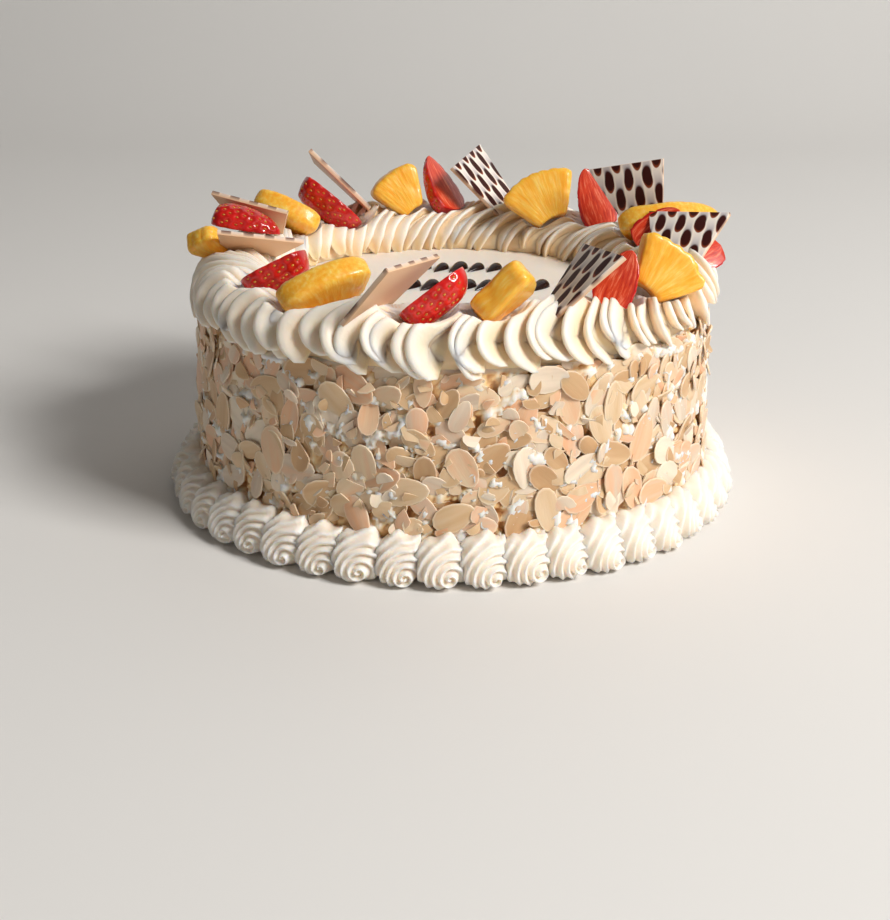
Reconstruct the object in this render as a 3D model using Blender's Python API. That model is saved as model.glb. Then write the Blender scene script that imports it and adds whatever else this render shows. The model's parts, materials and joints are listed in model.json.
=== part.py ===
"""Round cream cake with almond flakes, fruit and chocolate shards. Blender 4.5, metres, +Z up.

The origin is the middle of the cake's base. The front, as served, faces -Y.
A ring angle is measured from +X, counter-clockwise seen from above, in degrees.
"""
import math
import random

import bmesh
import bpy
from mathutils import Matrix, Vector

MM = 0.001

# Space left between two pieces that touch
GAP = 0.3 * MM

# Drum: sponge under one coat of cream, a little wider at its foot
DRUM_HEIGHT = 79.0 * MM
DRUM_FOOT_RADIUS = 104.0 * MM
DRUM_TOP_RADIUS = 100.5 * MM
DRUM_SEGMENTS = 60

# Almond flakes pressed into the side
FLAKE_COUNT = 78
FLAKE_SEED = 11
FLAKE_LONGEST = 19.0 * MM
FLAKE_SHORTEST = 12.0 * MM
FLAKE_WIDTH_SHARE = 0.58
FLAKE_THICKNESS = 2.4 * MM
FLAKE_PROUD = 0.84 * MM
FLAKE_CORNERS = 6
FLAKE_BLUNTNESS = 0.22
FLAKE_BROKEN_LENGTH = 0.45
FLAKE_BROKEN_EVERY = 3
FLAKE_TILT_LEAST = 3.9
FLAKE_TILT_MOST = 13.0
FLAKE_BAND_FOOT = 18.5 * MM
FLAKE_BAND_TOP = 71.2 * MM

# Chocolate drops piped in two rows on the flat top: middle x, middle y, drops in the row
DROP_ROWS = (
    (2.0 * MM, 36.0 * MM, 5),
    (9.0 * MM, 6.0 * MM, 8),
)
DROP_PITCH = 7.6 * MM
DROP_LENGTH = 12.0 * MM
DROP_WIDTH = 6.2 * MM
DROP_HEIGHT = 2.8 * MM
DROP_SLANT = 32.0
DROP_TOP_SPREAD = 0.6
DROP_FOOT_SPREAD = 1.25

# Top border: one rope of looped cream, flat below, over the drum's top edge
ROPE_RADIUS = 88.0 * MM
ROPE_HALF_WIDTH = 18.0 * MM
ROPE_HEIGHT = 20.0 * MM
ROPE_LOOPS = 44
ROPE_COLUMNS_PER_LOOP = 4
ROPE_ROWS = 7
ROPE_OUTER_DROP = 14.0
ROPE_FULLNESS = 0.86
ROPE_RIDGE = 1.7 * MM
ROPE_RIDGE_AT_FOOT = 0.2
ROPE_LOOP_GROOVE = 1.6 * MM
ROPE_LEAN = 29.0 * MM
ROPE_LOOSENESS = 0.9 * MM
ROPE_SLOW_WAVES = 3
ROPE_QUICK_WAVES = 5
ROPE_TIP_DROP = 1.6 * MM
ROPE_WALL_DEPTH = 4.0 * MM

# Bottom border: a ring of shells round the drum's foot
SHELL_COUNT = 45
SHELL_COLUMNS = 5
SHELL_OUTER_RADIUS = 118.0 * MM
SHELL_HEIGHT = 17.0 * MM
SHELL_GROOVE = 4.2 * MM
SHELL_RIDGE = 0.9 * MM
SHELL_LEAN = 5.0 * MM
SHELL_CREST_SETBACK = 3.5 * MM
SHELL_WIDEST_SHARE = 0.36
SHELL_FOOT_HEIGHT = 2.0 * MM
SHELL_FOOT_TUCK = 1.5 * MM
SHELL_SECTION_ANGLES = (86, 52, 20, -15)

# Strawberry halves: ring angle, ring radius, height, azimuth, elevation and roll of the cut face,
# then length, half width (mm) and how blunt the tip is
STRAWBERRIES = (
    (-145, 82, 101, 142, 57, -143, 27.0, 9.4, 5.0),
    (-95, 86, 102, 154, 48, 27, 28.0, 9.4, 5.0),
    (-45, 86, 100, -103, 26, -19, 23.5, 7.8, 1.9),
    (3, 102, 93, -70, 40, 112, 20.5, 7.3, 2.2),
    (14, 88, 101, -97, 29, -47, 23.0, 8.0, 2.0),
    (46, 90, 104, -84, 23, 16, 28.0, 8.4, 1.7),
    (93, 90, 106, -30, 40, -11, 29.0, 10.0, 1.6),
    (128, 86, 102, 32, 44, 148, 32.0, 10.0, 5.0),
    (171, 86, 102, -164, -81, -155, 29.0, 8.8, 2.2),
)
BERRY_ROWS = 6
BERRY_COLUMNS = 6
BERRY_SHOULDER = 0.28
BERRY_CALYX_TAPER = 0.30
BERRY_TIP_ROUNDNESS = 0.6
BERRY_TIP_DEPTH = 0.12

# Pineapple pieces, sectors of a cored slice: ring angle, ring radius, height, azimuth, elevation
# and roll of the slice's axis, then sector angle, outer radius, radial length and thickness (mm)
PINEAPPLES = (
    (-123, 84, 99, 121, 40, -25, 62, 38.0, 21.0, 10.5),
    (-78, 87, 101, -35, -38, -39, 40, 36.0, 23.0, 10.5),
    (-33, 94, 101, -86, 19, -43, 60, 31.5, 19.5, 11.0),
    (20, 98, 101, 99, 45, 0, 78, 39.0, 18.0, 11.0),
    (60, 79, 104, -90, 21, 25, 62, 34.0, 21.0, 11.0),
    (106, 87, 103, -77, 15, 32, 46, 33.0, 20.0, 11.0),
    (148, 84, 101, 53, 48, 35, 52, 38.0, 20.0, 10.0),
    (-179, 98, 99, 98, 50, -43, 30, 31.0, 15.0, 9.5),
)
SLICE_COLUMNS = 7
SLICE_RIM_ROUND = 2.4 * MM
SLICE_SCALLOP = 0.7 * MM

# Chocolate shards: ring angle, ring radius, height of the foot's middle, azimuth, elevation and
# roll of the patterned face, then half width at the top, inset of each foot corner and height (mm)
SHARDS = (
    (-112, 89, 90, 147, 42, 5, 17.3, 5.8, 3.6, 31.9),
    (-68, 88, 91, -165, 45, 7, 16.6, 10.7, 11.8, 32.0),
    (-2, 89, 89, -119, 53, 7, 17.2, 8.4, 9.2, 30.7),
    (25, 93, 92, -111, 3, 12, 16.5, 16.1, 5.1, 32.8),
    (73, 92, 92, -29, 39, 11, 17.1, 7.3, 6.7, 33.6),
    (115, 89, 95, 21, 43, -29, 14.0, 4.0, 4.0, 36.0),
    (153, 91, 90, 63, 45, 15, 17.2, 9.5, 10.0, 31.2),
    (171, 88, 88, 91, 57, 18, 17.5, 11.1, 8.8, 30.7),
)
SHARD_THICKNESS = 2.0 * MM

# A cutter's faces move out by a little more than the gap, in a few rounds at each corner
CUTTER_GROWTH = 0.33 * MM
CUTTER_ROUNDS = 12

# Fruit that is pressed against its neighbours takes their shape there
PRESSED = (
    ("strawberry_4", ("chocolate_shard_3",)),
    ("strawberry_5", ("chocolate_shard_3", "pineapple_4")),
    ("strawberry_6", ("chocolate_shard_4",)),
    ("strawberry_7", ("pineapple_6",)),
    ("strawberry_9", ("chocolate_shard_7", "chocolate_shard_8")),
    ("pineapple_4", ("chocolate_shard_3", "chocolate_shard_4")),
    ("pineapple_8", ("chocolate_shard_8",)),
)


def clear_scene():
    for item in list(bpy.data.objects):
        bpy.data.objects.remove(item, do_unlink=True)


def food_material(name, colour, roughness):
    material = bpy.data.materials.new(name)
    material.use_nodes = True
    shader = material.node_tree.nodes["Principled BSDF"]
    shader.inputs["Base Color"].default_value = (*colour, 1.0)
    shader.inputs["Roughness"].default_value = roughness
    shader.inputs["Metallic"].default_value = 0.0
    return material


def add_object(name, bm, colour, roughness):
    """Turn a bmesh into a named object with its own material."""
    bmesh.ops.recalc_face_normals(bm, faces=bm.faces)
    mesh = bpy.data.meshes.new(name)
    bm.to_mesh(mesh)
    bm.free()
    item = bpy.data.objects.new(name, mesh)
    bpy.context.scene.collection.objects.link(item)
    mesh.materials.append(food_material(name, colour, roughness))
    mesh.shade_smooth()
    mesh.set_sharp_from_angle(angle=math.radians(35))
    return item


def placed(ring_angle, ring_radius, height, azimuth, elevation, roll):
    """Frame of a topping: +X is its face's direction, +Z its upward direction within the face."""
    angle = math.radians(ring_angle)
    place = Vector((ring_radius * math.cos(angle), ring_radius * math.sin(angle), height)) * MM
    turn = (
        Matrix.Rotation(math.radians(azimuth), 4, "Z")
        @ Matrix.Rotation(math.radians(-elevation), 4, "Y")
        @ Matrix.Rotation(math.radians(roll), 4, "X")
    )
    return Matrix.Translation(place) @ turn


def ring_mesh(rows_by_column):
    """Close a grid of rows by columns into a ring whose section is a closed loop."""
    bm = bmesh.new()
    grid = [[bm.verts.new(point) for point in column] for column in rows_by_column]
    for i, column in enumerate(grid):
        beside = grid[(i + 1) % len(grid)]
        for j in range(len(column)):
            k = (j + 1) % len(column)
            bm.faces.new((column[j], beside[j], beside[k], column[k]))
    return bm


def polar(radius, angle, height):
    return (radius * math.cos(angle), radius * math.sin(angle), height)


def drum_radius(height):
    share = height / DRUM_HEIGHT
    return DRUM_FOOT_RADIUS + (DRUM_TOP_RADIUS - DRUM_FOOT_RADIUS) * share


def drum_mesh():
    bm = bmesh.new()
    bmesh.ops.create_cone(
        bm,
        cap_ends=True,
        segments=DRUM_SEGMENTS,
        radius1=DRUM_FOOT_RADIUS,
        radius2=DRUM_TOP_RADIUS,
        depth=DRUM_HEIGHT,
        matrix=Matrix.Translation((0, 0, DRUM_HEIGHT / 2)),
    )
    return bm


def flake_mesh(length, width, broken):
    """One sliced almond: an oval plate, blunt at one end, or cut short where it broke."""
    bm = bmesh.new()
    outline = []
    for i in range(FLAKE_CORNERS):
        angle = 2 * math.pi * (i + 0.5) / FLAKE_CORNERS
        x = length / 2 * math.cos(angle)
        y = width / 2 * math.sin(angle) * (1 - FLAKE_BLUNTNESS * math.cos(angle))
        outline.append((min(x, broken * length / 2), y))
    half = FLAKE_THICKNESS / 2
    top = [bm.verts.new((x, y, half)) for x, y in outline]
    foot = [bm.verts.new((x, y, -half)) for x, y in outline]
    bm.faces.new(top)
    bm.faces.new(list(reversed(foot)))
    for i in range(FLAKE_CORNERS):
        k = (i + 1) % FLAKE_CORNERS
        bm.faces.new((foot[i], foot[k], top[k], top[i]))
    return bm


def flake_frames():
    """Even spread over the side's band, the largest flakes first, with a seeded draw of turns."""
    draw = random.Random(FLAKE_SEED)
    golden = math.pi * (3 - math.sqrt(5))
    steps = list(range(FLAKE_COUNT))
    draw.shuffle(steps)
    for order, step in enumerate(steps):
        size = 1 - order / FLAKE_COUNT
        length = FLAKE_SHORTEST + (FLAKE_LONGEST - FLAKE_SHORTEST) * size
        width = length * FLAKE_WIDTH_SHARE
        band = FLAKE_BAND_TOP - FLAKE_BAND_FOOT - width
        height = FLAKE_BAND_FOOT + width / 2 + band * (step + 0.5) / FLAKE_COUNT
        room = min(height - FLAKE_BAND_FOOT, FLAKE_BAND_TOP - height) - width / 2
        steepest = math.asin(min(1, max(0, room) / (length / 2)))
        turn = draw.uniform(-steepest, steepest)
        tilt = math.radians(draw.uniform(FLAKE_TILT_LEAST, FLAKE_TILT_MOST))
        lift_side = draw.uniform(0, 2 * math.pi)
        broken = 1.0 if order % FLAKE_BROKEN_EVERY else FLAKE_BROKEN_LENGTH
        angle = step * golden
        frame = (
            Matrix.Translation(polar(drum_radius(height) + FLAKE_PROUD, angle, height))
            @ Matrix.Rotation(angle, 4, "Z")
            @ Matrix.Rotation(math.pi / 2, 4, "Y")
            @ Matrix.Rotation(math.pi / 2 + turn, 4, "Z")
            @ Matrix.Rotation(tilt, 4, (math.cos(lift_side), math.sin(lift_side), 0))
        )
        yield frame, length, width, broken


def drop_mesh():
    """A piped teardrop with a pointed tail, whose lower half is inside the drum."""
    bm = bmesh.new()
    # In shares of the drop's length and width, the round end first
    outline = ((0.5, 0), (0.28, 0.5), (-0.1, 0.34), (-0.5, 0), (-0.1, -0.34), (0.28, -0.5))
    loops = []
    for spread, height in ((DROP_FOOT_SPREAD, -DROP_HEIGHT), (DROP_TOP_SPREAD, DROP_HEIGHT)):
        loop = []
        for along, across in outline:
            x = along * DROP_LENGTH * spread
            y = across * DROP_WIDTH * spread
            loop.append(bm.verts.new((x, y, height)))
        loops.append(loop)
    foot, top = loops
    bm.faces.new(foot)
    bm.faces.new(list(reversed(top)))
    for i in range(len(outline)):
        k = (i + 1) % len(outline)
        bm.faces.new((foot[i], top[i], top[k], foot[k]))
    return bm


def drop_frames():
    """Drops side by side, all leaning the same way."""
    slant = math.radians(90 - DROP_SLANT)
    for middle_x, middle_y, count in DROP_ROWS:
        for i in range(count):
            x = middle_x + (i - (count - 1) / 2) * DROP_PITCH
            yield Matrix.Translation((x, middle_y, DRUM_HEIGHT)) @ Matrix.Rotation(slant, 4, "Z")


def cake_body():
    """The drum with its flakes and drops joined to it by one union."""
    body = add_object("cake_body", drum_mesh(), (0.80, 0.62, 0.40), 0.6)
    pieces = bpy.data.collections.new("fused_pieces")
    bpy.context.scene.collection.children.link(pieces)
    meshes = []
    for frame, length, width, broken in flake_frames():
        bm = flake_mesh(length, width, broken)
        bm.transform(frame)
        meshes.append(bm)
    for frame in drop_frames():
        bm = drop_mesh()
        bm.transform(frame)
        meshes.append(bm)
    for bm in meshes:
        bmesh.ops.recalc_face_normals(bm, faces=bm.faces)
        mesh = bpy.data.meshes.new("fused_piece")
        bm.to_mesh(mesh)
        bm.free()
        pieces.objects.link(bpy.data.objects.new("fused_piece", mesh))
    union = body.modifiers.new("fused", "BOOLEAN")
    union.operation = "UNION"
    union.operand_type = "COLLECTION"
    union.collection = pieces
    apply_modifiers(body)
    for item in list(pieces.objects):
        bpy.data.objects.remove(item, do_unlink=True)
    bpy.data.collections.remove(pieces)
    return body


def apply_modifiers(item):
    """Replace the mesh with its evaluated copy, and keep its largest closed body."""
    graph = bpy.context.evaluated_depsgraph_get()
    mesh = bpy.data.meshes.new_from_object(item.evaluated_get(graph))
    item.modifiers.clear()
    item.data = mesh
    bm = bmesh.new()
    bm.from_mesh(mesh)
    bodies = connected_bodies(bm)
    scraps = [vert for body in bodies[1:] for vert in body]
    bmesh.ops.delete(bm, geom=scraps, context="VERTS")
    bmesh.ops.triangulate(bm, faces=bm.faces)
    bm.to_mesh(mesh)
    bm.free()


def connected_bodies(bm):
    """Groups of joined vertices, the largest group first."""
    left = set(bm.verts)
    bodies = []
    while left:
        stack = [left.pop()]
        body = set(stack)
        while stack:
            for edge in stack.pop().link_edges:
                for vert in edge.verts:
                    if vert in left:
                        left.remove(vert)
                        body.add(vert)
                        stack.append(vert)
        bodies.append(body)
    bodies.sort(key=len, reverse=True)
    return bodies


def rope_section(share):
    """Radius, height and outward direction at a share of the way from inner to outer foot."""
    angle = math.radians(180 - share * (180 + ROPE_OUTER_DROP))
    across = math.copysign(abs(math.cos(angle)) ** ROPE_FULLNESS, math.cos(angle))
    up = math.copysign(abs(math.sin(angle)) ** ROPE_FULLNESS, math.sin(angle))
    radius = ROPE_RADIUS + ROPE_HALF_WIDTH * across
    height = DRUM_HEIGHT + GAP + ROPE_HEIGHT * up
    return radius, height, math.cos(angle), math.sin(angle)


def top_border():
    """A looped rope: each loop is a pair of ridges that lean over the top, with a groove between."""
    columns = ROPE_LOOPS * ROPE_COLUMNS_PER_LOOP
    inner_wall = drum_radius(DRUM_HEIGHT - ROPE_WALL_DEPTH) + GAP
    rows_by_column = []
    for i in range(columns):
        base = 2 * math.pi * i / columns
        in_loop = i % ROPE_COLUMNS_PER_LOOP
        waves = math.sin(ROPE_QUICK_WAVES * base + 1.0) * math.sin(ROPE_SLOW_WAVES * base)
        column = []
        for j in range(ROPE_ROWS):
            share = j / (ROPE_ROWS - 1)
            radius, height, out, up = rope_section(share)
            lift = ROPE_RIDGE if in_loop % 2 else -ROPE_RIDGE
            if in_loop == 0:
                lift -= ROPE_LOOP_GROOVE
            fade = ROPE_RIDGE_AT_FOOT + (1 - ROPE_RIDGE_AT_FOOT) * math.sin(math.pi * share) ** 0.5
            lift = (lift + waves * ROPE_LOOSENESS) * fade
            angle = base + (0.5 - share) * ROPE_LEAN / ROPE_RADIUS
            rise = lift * up if j else 0.0
            if j == ROPE_ROWS - 1:
                rise = -ROPE_TIP_DROP if in_loop % 2 else ROPE_TIP_DROP
            column.append(polar(radius + lift * out, angle, height + rise))
        outer_angle = base - 0.5 * ROPE_LEAN / ROPE_RADIUS
        wall_foot = rope_section(1.0)[1]
        column.append(polar(inner_wall, outer_angle, wall_foot))
        column.append(polar(inner_wall, outer_angle, DRUM_HEIGHT + GAP))
        rows_by_column.append(column)
    return add_object("top_border", ring_mesh(rows_by_column), (0.93, 0.86, 0.72), 0.45)


def bottom_border():
    """Shells piped side by side: each a ribbed dome that curls to one side."""
    columns = SHELL_COUNT * SHELL_COLUMNS
    foot_wall = DRUM_FOOT_RADIUS + GAP
    crest_radius = foot_wall + SHELL_CREST_SETBACK
    wall_height = SHELL_HEIGHT - SHELL_CREST_SETBACK
    widest_height = SHELL_WIDEST_SHARE * SHELL_HEIGHT
    rows_by_column = []
    for i in range(columns):
        base = 2 * math.pi * i / columns
        in_shell = i % SHELL_COLUMNS
        lift = SHELL_RIDGE if in_shell % 2 else -SHELL_RIDGE
        if in_shell == 0:
            lift = -SHELL_GROOVE
        column = [polar(foot_wall, base, wall_height + 0.5 * lift)]
        for section_angle in SHELL_SECTION_ANGLES:
            turn = math.radians(section_angle)
            out = math.cos(turn)
            up = math.sin(turn)
            radius = crest_radius + (SHELL_OUTER_RADIUS - crest_radius + lift) * out
            height = widest_height + (SHELL_HEIGHT - widest_height + lift) * up
            angle = base + SHELL_LEAN * (up - 0.4) / SHELL_OUTER_RADIUS
            column.append(polar(radius, angle, max(height, SHELL_FOOT_HEIGHT)))
        column.append(polar(radius - SHELL_FOOT_TUCK, angle, 0.0))
        column.append(polar(foot_wall, base, 0.0))
        rows_by_column.append(column)
    return add_object("bottom_border", ring_mesh(rows_by_column), (0.93, 0.87, 0.75), 0.45)


def berry_radius(share, half_width, bluntness):
    """Half width at a share of the way from the calyx end to the tip."""
    if share < BERRY_SHOULDER:
        toward_calyx = (BERRY_SHOULDER - share) / BERRY_SHOULDER
        return half_width * (1 - BERRY_CALYX_TAPER * toward_calyx ** 2)
    toward_tip = (share - BERRY_SHOULDER) / (1 - BERRY_SHOULDER)
    return half_width * (1 - toward_tip ** bluntness) ** BERRY_TIP_ROUNDNESS


def strawberry_mesh(length, half_width, bluntness):
    """Half a berry: the cut face at x = 0 looks along +X and the tip points along +Z."""
    bm = bmesh.new()
    rows = []
    for i in range(BERRY_ROWS):
        share = i / BERRY_ROWS
        radius = berry_radius(share, half_width, bluntness)
        row = []
        for j in range(BERRY_COLUMNS + 1):
            turn = math.pi * (j / BERRY_COLUMNS - 0.5)
            z = (share - 0.5) * length
            row.append(bm.verts.new((-radius * math.cos(turn), radius * math.sin(turn), z)))
        rows.append(row)
    tip = bm.verts.new((-BERRY_TIP_DEPTH * half_width, 0, length / 2))
    for low, high in zip(rows, rows[1:]):
        for j in range(BERRY_COLUMNS):
            bm.faces.new((low[j], low[j + 1], high[j + 1], high[j]))
        bm.faces.new((low[0], high[0], high[-1], low[-1]))
    for j in range(BERRY_COLUMNS):
        bm.faces.new((rows[-1][j], rows[-1][j + 1], tip))
    bm.faces.new((rows[-1][0], tip, rows[-1][-1]))
    bm.faces.new(rows[0])
    return bm


def pineapple_mesh(sector, outer_radius, radial_length, thickness):
    """A sector of a cored slice: its axis is X, its rim points along +Z."""
    bm = bmesh.new()
    core_radius = outer_radius - radial_length
    middle = (outer_radius + core_radius) / 2
    half = thickness / 2
    columns = []
    for i in range(SLICE_COLUMNS + 1):
        angle = math.radians(sector) * (i / SLICE_COLUMNS - 0.5)
        rim = outer_radius + SLICE_SCALLOP * (1 if i % 2 else -1)
        section = (
            (core_radius, -half),
            (core_radius, half),
            (rim - SLICE_RIM_ROUND, half),
            (rim, half - SLICE_RIM_ROUND),
            (rim, -half + SLICE_RIM_ROUND),
            (rim - SLICE_RIM_ROUND, -half),
        )
        column = []
        for radius, x in section:
            y = radius * math.sin(angle)
            z = radius * math.cos(angle) - middle
            column.append(bm.verts.new((x, y, z)))
        columns.append(column)
    for left, right in zip(columns, columns[1:]):
        for j in range(len(left)):
            k = (j + 1) % len(left)
            bm.faces.new((left[j], right[j], right[k], left[k]))
    bm.faces.new(columns[0])
    bm.faces.new(list(reversed(columns[-1])))
    return bm


def shard_mesh(half_top, inset_minus, inset_plus, height):
    """A flat plate with four corners: the foot's middle is at the origin, the face looks along +X."""
    bm = bmesh.new()
    foot_minus = -half_top + inset_minus
    foot_plus = half_top - inset_plus
    shift = (foot_minus + foot_plus) / 2
    outline = (
        (foot_minus - shift, 0),
        (foot_plus - shift, 0),
        (half_top - shift, height),
        (-half_top - shift, height),
    )
    front = [bm.verts.new((SHARD_THICKNESS / 2, y, z)) for y, z in outline]
    back = [bm.verts.new((-SHARD_THICKNESS / 2, y, z)) for y, z in outline]
    bm.faces.new(front)
    bm.faces.new(list(reversed(back)))
    for i in range(len(outline)):
        k = (i + 1) % len(outline)
        bm.faces.new((back[i], back[k], front[k], front[i]))
    return bm


def toppings():
    """All the fruit and the shards, each its own object."""
    items = []
    for i, (*place, length, half_width, bluntness) in enumerate(STRAWBERRIES, 1):
        bm = strawberry_mesh(length * MM, half_width * MM, bluntness)
        bm.transform(placed(*place))
        items.append(add_object(f"strawberry_{i}", bm, (0.72, 0.04, 0.03), 0.25))
    for i, (*place, sector, outer_radius, radial, thickness) in enumerate(PINEAPPLES, 1):
        bm = pineapple_mesh(sector, outer_radius * MM, radial * MM, thickness * MM)
        bm.transform(placed(*place))
        items.append(add_object(f"pineapple_{i}", bm, (0.90, 0.52, 0.05), 0.3))
    for i, (*place, half_top, minus, plus, height) in enumerate(SHARDS, 1):
        bm = shard_mesh(half_top * MM, minus * MM, plus * MM, height * MM)
        bm.transform(placed(*place))
        items.append(add_object(f"chocolate_shard_{i}", bm, (0.80, 0.66, 0.48), 0.35))
    return items


def grown_copy(item, name):
    """A hidden cutter: the piece with every face moved out by the gap."""
    bm = bmesh.new()
    bm.from_mesh(item.data)
    moved = []
    for vert in bm.verts:
        normals = [face.normal for face in vert.link_faces]
        shift = Vector((0, 0, 0))
        for _ in range(CUTTER_ROUNDS):
            for normal in normals:
                short = CUTTER_GROWTH - shift.dot(normal)
                if short > 0:
                    shift += normal * short
        moved.append(vert.co + shift)
    for vert, place in zip(bm.verts, moved):
        vert.co = place
    mesh = bpy.data.meshes.new(name)
    bm.to_mesh(mesh)
    bm.free()
    cutter = bpy.data.objects.new(name, mesh)
    cutter.hide_render = True
    cutter.display_type = "WIRE"
    return cutter


def cut_pockets(item, pieces):
    """Cut room for the pieces out of an item, so that they sit in it and touch nothing."""
    room = bpy.data.collections.new("room")
    bpy.context.scene.collection.children.link(room)
    for piece in pieces:
        room.objects.link(grown_copy(piece, "room_" + piece.name))
    cut = item.modifiers.new("pockets", "BOOLEAN")
    cut.operation = "DIFFERENCE"
    cut.operand_type = "COLLECTION"
    cut.collection = room
    apply_modifiers(item)
    for cutter in list(room.objects):
        bpy.data.objects.remove(cutter, do_unlink=True)
    bpy.data.collections.remove(room)


def main():
    clear_scene()
    cake_body()
    bottom_border()
    rope = top_border()
    items = toppings()
    by_name = {item.name: item for item in items}
    for fruit, neighbours in PRESSED:
        cut_pockets(by_name[fruit], [by_name[name] for name in neighbours])
    cut_pockets(rope, items)


main()
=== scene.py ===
"""Round cream cake with almond flakes, fruit and chocolate shards, dressed on its CAD frame.

Metres, +Z up. The origin is the middle of the cake's base and the front faces -Y.
A ring angle is measured from +X, counter-clockwise seen from above.
"""
import json
import math
import random

import bmesh
import bpy
import numpy as np
from mathutils import Matrix, Vector, noise

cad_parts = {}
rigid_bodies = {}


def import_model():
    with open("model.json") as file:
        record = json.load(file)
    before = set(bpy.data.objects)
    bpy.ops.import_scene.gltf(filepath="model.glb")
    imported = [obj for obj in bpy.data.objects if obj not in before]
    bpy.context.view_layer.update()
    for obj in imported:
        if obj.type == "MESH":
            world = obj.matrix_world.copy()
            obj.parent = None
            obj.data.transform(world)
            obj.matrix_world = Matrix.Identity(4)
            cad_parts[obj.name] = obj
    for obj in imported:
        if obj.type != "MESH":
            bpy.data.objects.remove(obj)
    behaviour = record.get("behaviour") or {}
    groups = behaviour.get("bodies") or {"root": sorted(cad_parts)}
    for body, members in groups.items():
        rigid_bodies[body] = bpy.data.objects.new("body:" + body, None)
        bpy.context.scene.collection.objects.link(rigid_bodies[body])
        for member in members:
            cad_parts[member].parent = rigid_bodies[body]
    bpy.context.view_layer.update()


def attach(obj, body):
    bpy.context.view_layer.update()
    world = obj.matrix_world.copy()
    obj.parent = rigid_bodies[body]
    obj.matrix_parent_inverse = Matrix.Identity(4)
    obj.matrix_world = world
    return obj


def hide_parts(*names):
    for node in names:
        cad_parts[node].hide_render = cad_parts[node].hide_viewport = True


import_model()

# Coat: whipped cream spread over the sponge with a palette knife. The top is smoothed flat and
# the side is left rough, because the almonds are pressed into it while it is wet.

MM = 0.001

DRUM_HEIGHT = 79.0 * MM
DRUM_FOOT_RADIUS = 104.0 * MM
DRUM_TOP_RADIUS = 100.5 * MM
COAT_COLUMNS = 560
COAT_SIDE_ROWS = 64
COAT_TOP_ROWS = 14
COAT_EDGE_ROUND = 1.5 * MM
COAT_TOP_MIDDLE = 0.8 * MM
COAT_FOOT_MIDDLE = 1.0 * MM
SMEAR_SIZE = 6.0 * MM
SMEAR_SHARPNESS = 1.2
SMEAR_PATCH = 30.0 * MM
# How far the smears stand out on average, how that swings from patch to patch, and its least
SMEAR_SHARE, SMEAR_SWING, SMEAR_LEAST = 0.75, 1.4, 0.25
SMEAR_LIFT = 0.8 * MM
SMEAR_HEIGHT = 6.0 * MM
SMEAR_CREST = 0.36
# How much painted groove shade the cream gets: a little on the top, much in the gaps between the almonds
# where shade falls, less on peaks
TOP_GROOVE_SHADE = 0.08
GAP_GROOVE_SHADE = 0.8
GAP_SHADE_FALL = 3.0

CREAM_LIT = "#F4F2EF"
# Painted shade: the warm yellow painted in grooves, and the brown painted in the deepest gaps
CREAM_GROOVE_SHADE = "#FBD49E"
CREAM_GAP_SHADE = "#D29C66"
CREAM_CLOUDED = "#FFF9F0"
# The air bubbles are drawn coarser than the real ones, which are too fine to show
CREAM_BUBBLES = 0.9 * MM
CREAM_DRAG = 5.0 * MM
CREAM_CLOUDS = 22.0 * MM


def linear(hex_colour):
    """An sRGB hex colour as linear red, green, blue and alpha."""
    channels = [int(hex_colour[i:i + 2], 16) / 255 for i in (1, 3, 5)]
    return [c / 12.92 if c <= 0.04045 else ((c + 0.055) / 1.055) ** 2.4 for c in channels] + [1.0]


def new_tree(name):
    """A material with nothing in it yet, and its node tree."""
    material = bpy.data.materials.new(name)
    material.use_nodes = True
    material.node_tree.nodes.clear()
    return material, material.node_tree


def add_node(tree, kind, settings, inputs):
    """Add a node. An input is a value, or a pair of a node and its output, which is linked."""
    node = tree.nodes.new("ShaderNode" + kind)
    for name, value in settings.items():
        setattr(node, name, value)
    for name, value in inputs.items():
        if isinstance(value, tuple) and isinstance(value[0], bpy.types.Node):
            tree.links.new(value[0].outputs[value[1]], node.inputs[name])
        else:
            node.inputs[name].default_value = value
    return node


def set_stops(ramp_node, stops):
    """Give a colour ramp its stops, as pairs of a place and an sRGB hex colour."""
    elements = ramp_node.color_ramp.elements
    while len(elements) < len(stops):
        elements.new(0.5)
    for element, (place, colour) in zip(elements, stops):
        element.position = place
        element.color = linear(colour)


def grid_quads(rows, columns, wrap_rows=False, wrap_columns=True):
    """Quads between the points of a grid stored row by row."""
    i, j = np.meshgrid(
        np.arange(rows if wrap_rows else rows - 1),
        np.arange(columns if wrap_columns else columns - 1),
        indexing="ij",
    )
    below = (i + 1) % rows
    beside = (j + 1) % columns
    corners = (i * columns + j, i * columns + beside, below * columns + beside, below * columns + j)
    return np.stack(corners, axis=-1).reshape(-1, 4).tolist()


def tube_faces(rows, columns):
    """Quads round a closed tube of points stored row by row, and a face across each end."""
    faces = grid_quads(rows, columns)
    faces.append(list(range(columns)))
    faces.append([(rows - 1) * columns + i for i in range(columns)])
    return faces


def shifted(faces, offset):
    """The same faces on points that start further on in a longer list."""
    return [[corner + offset for corner in face] for face in faces]


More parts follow.
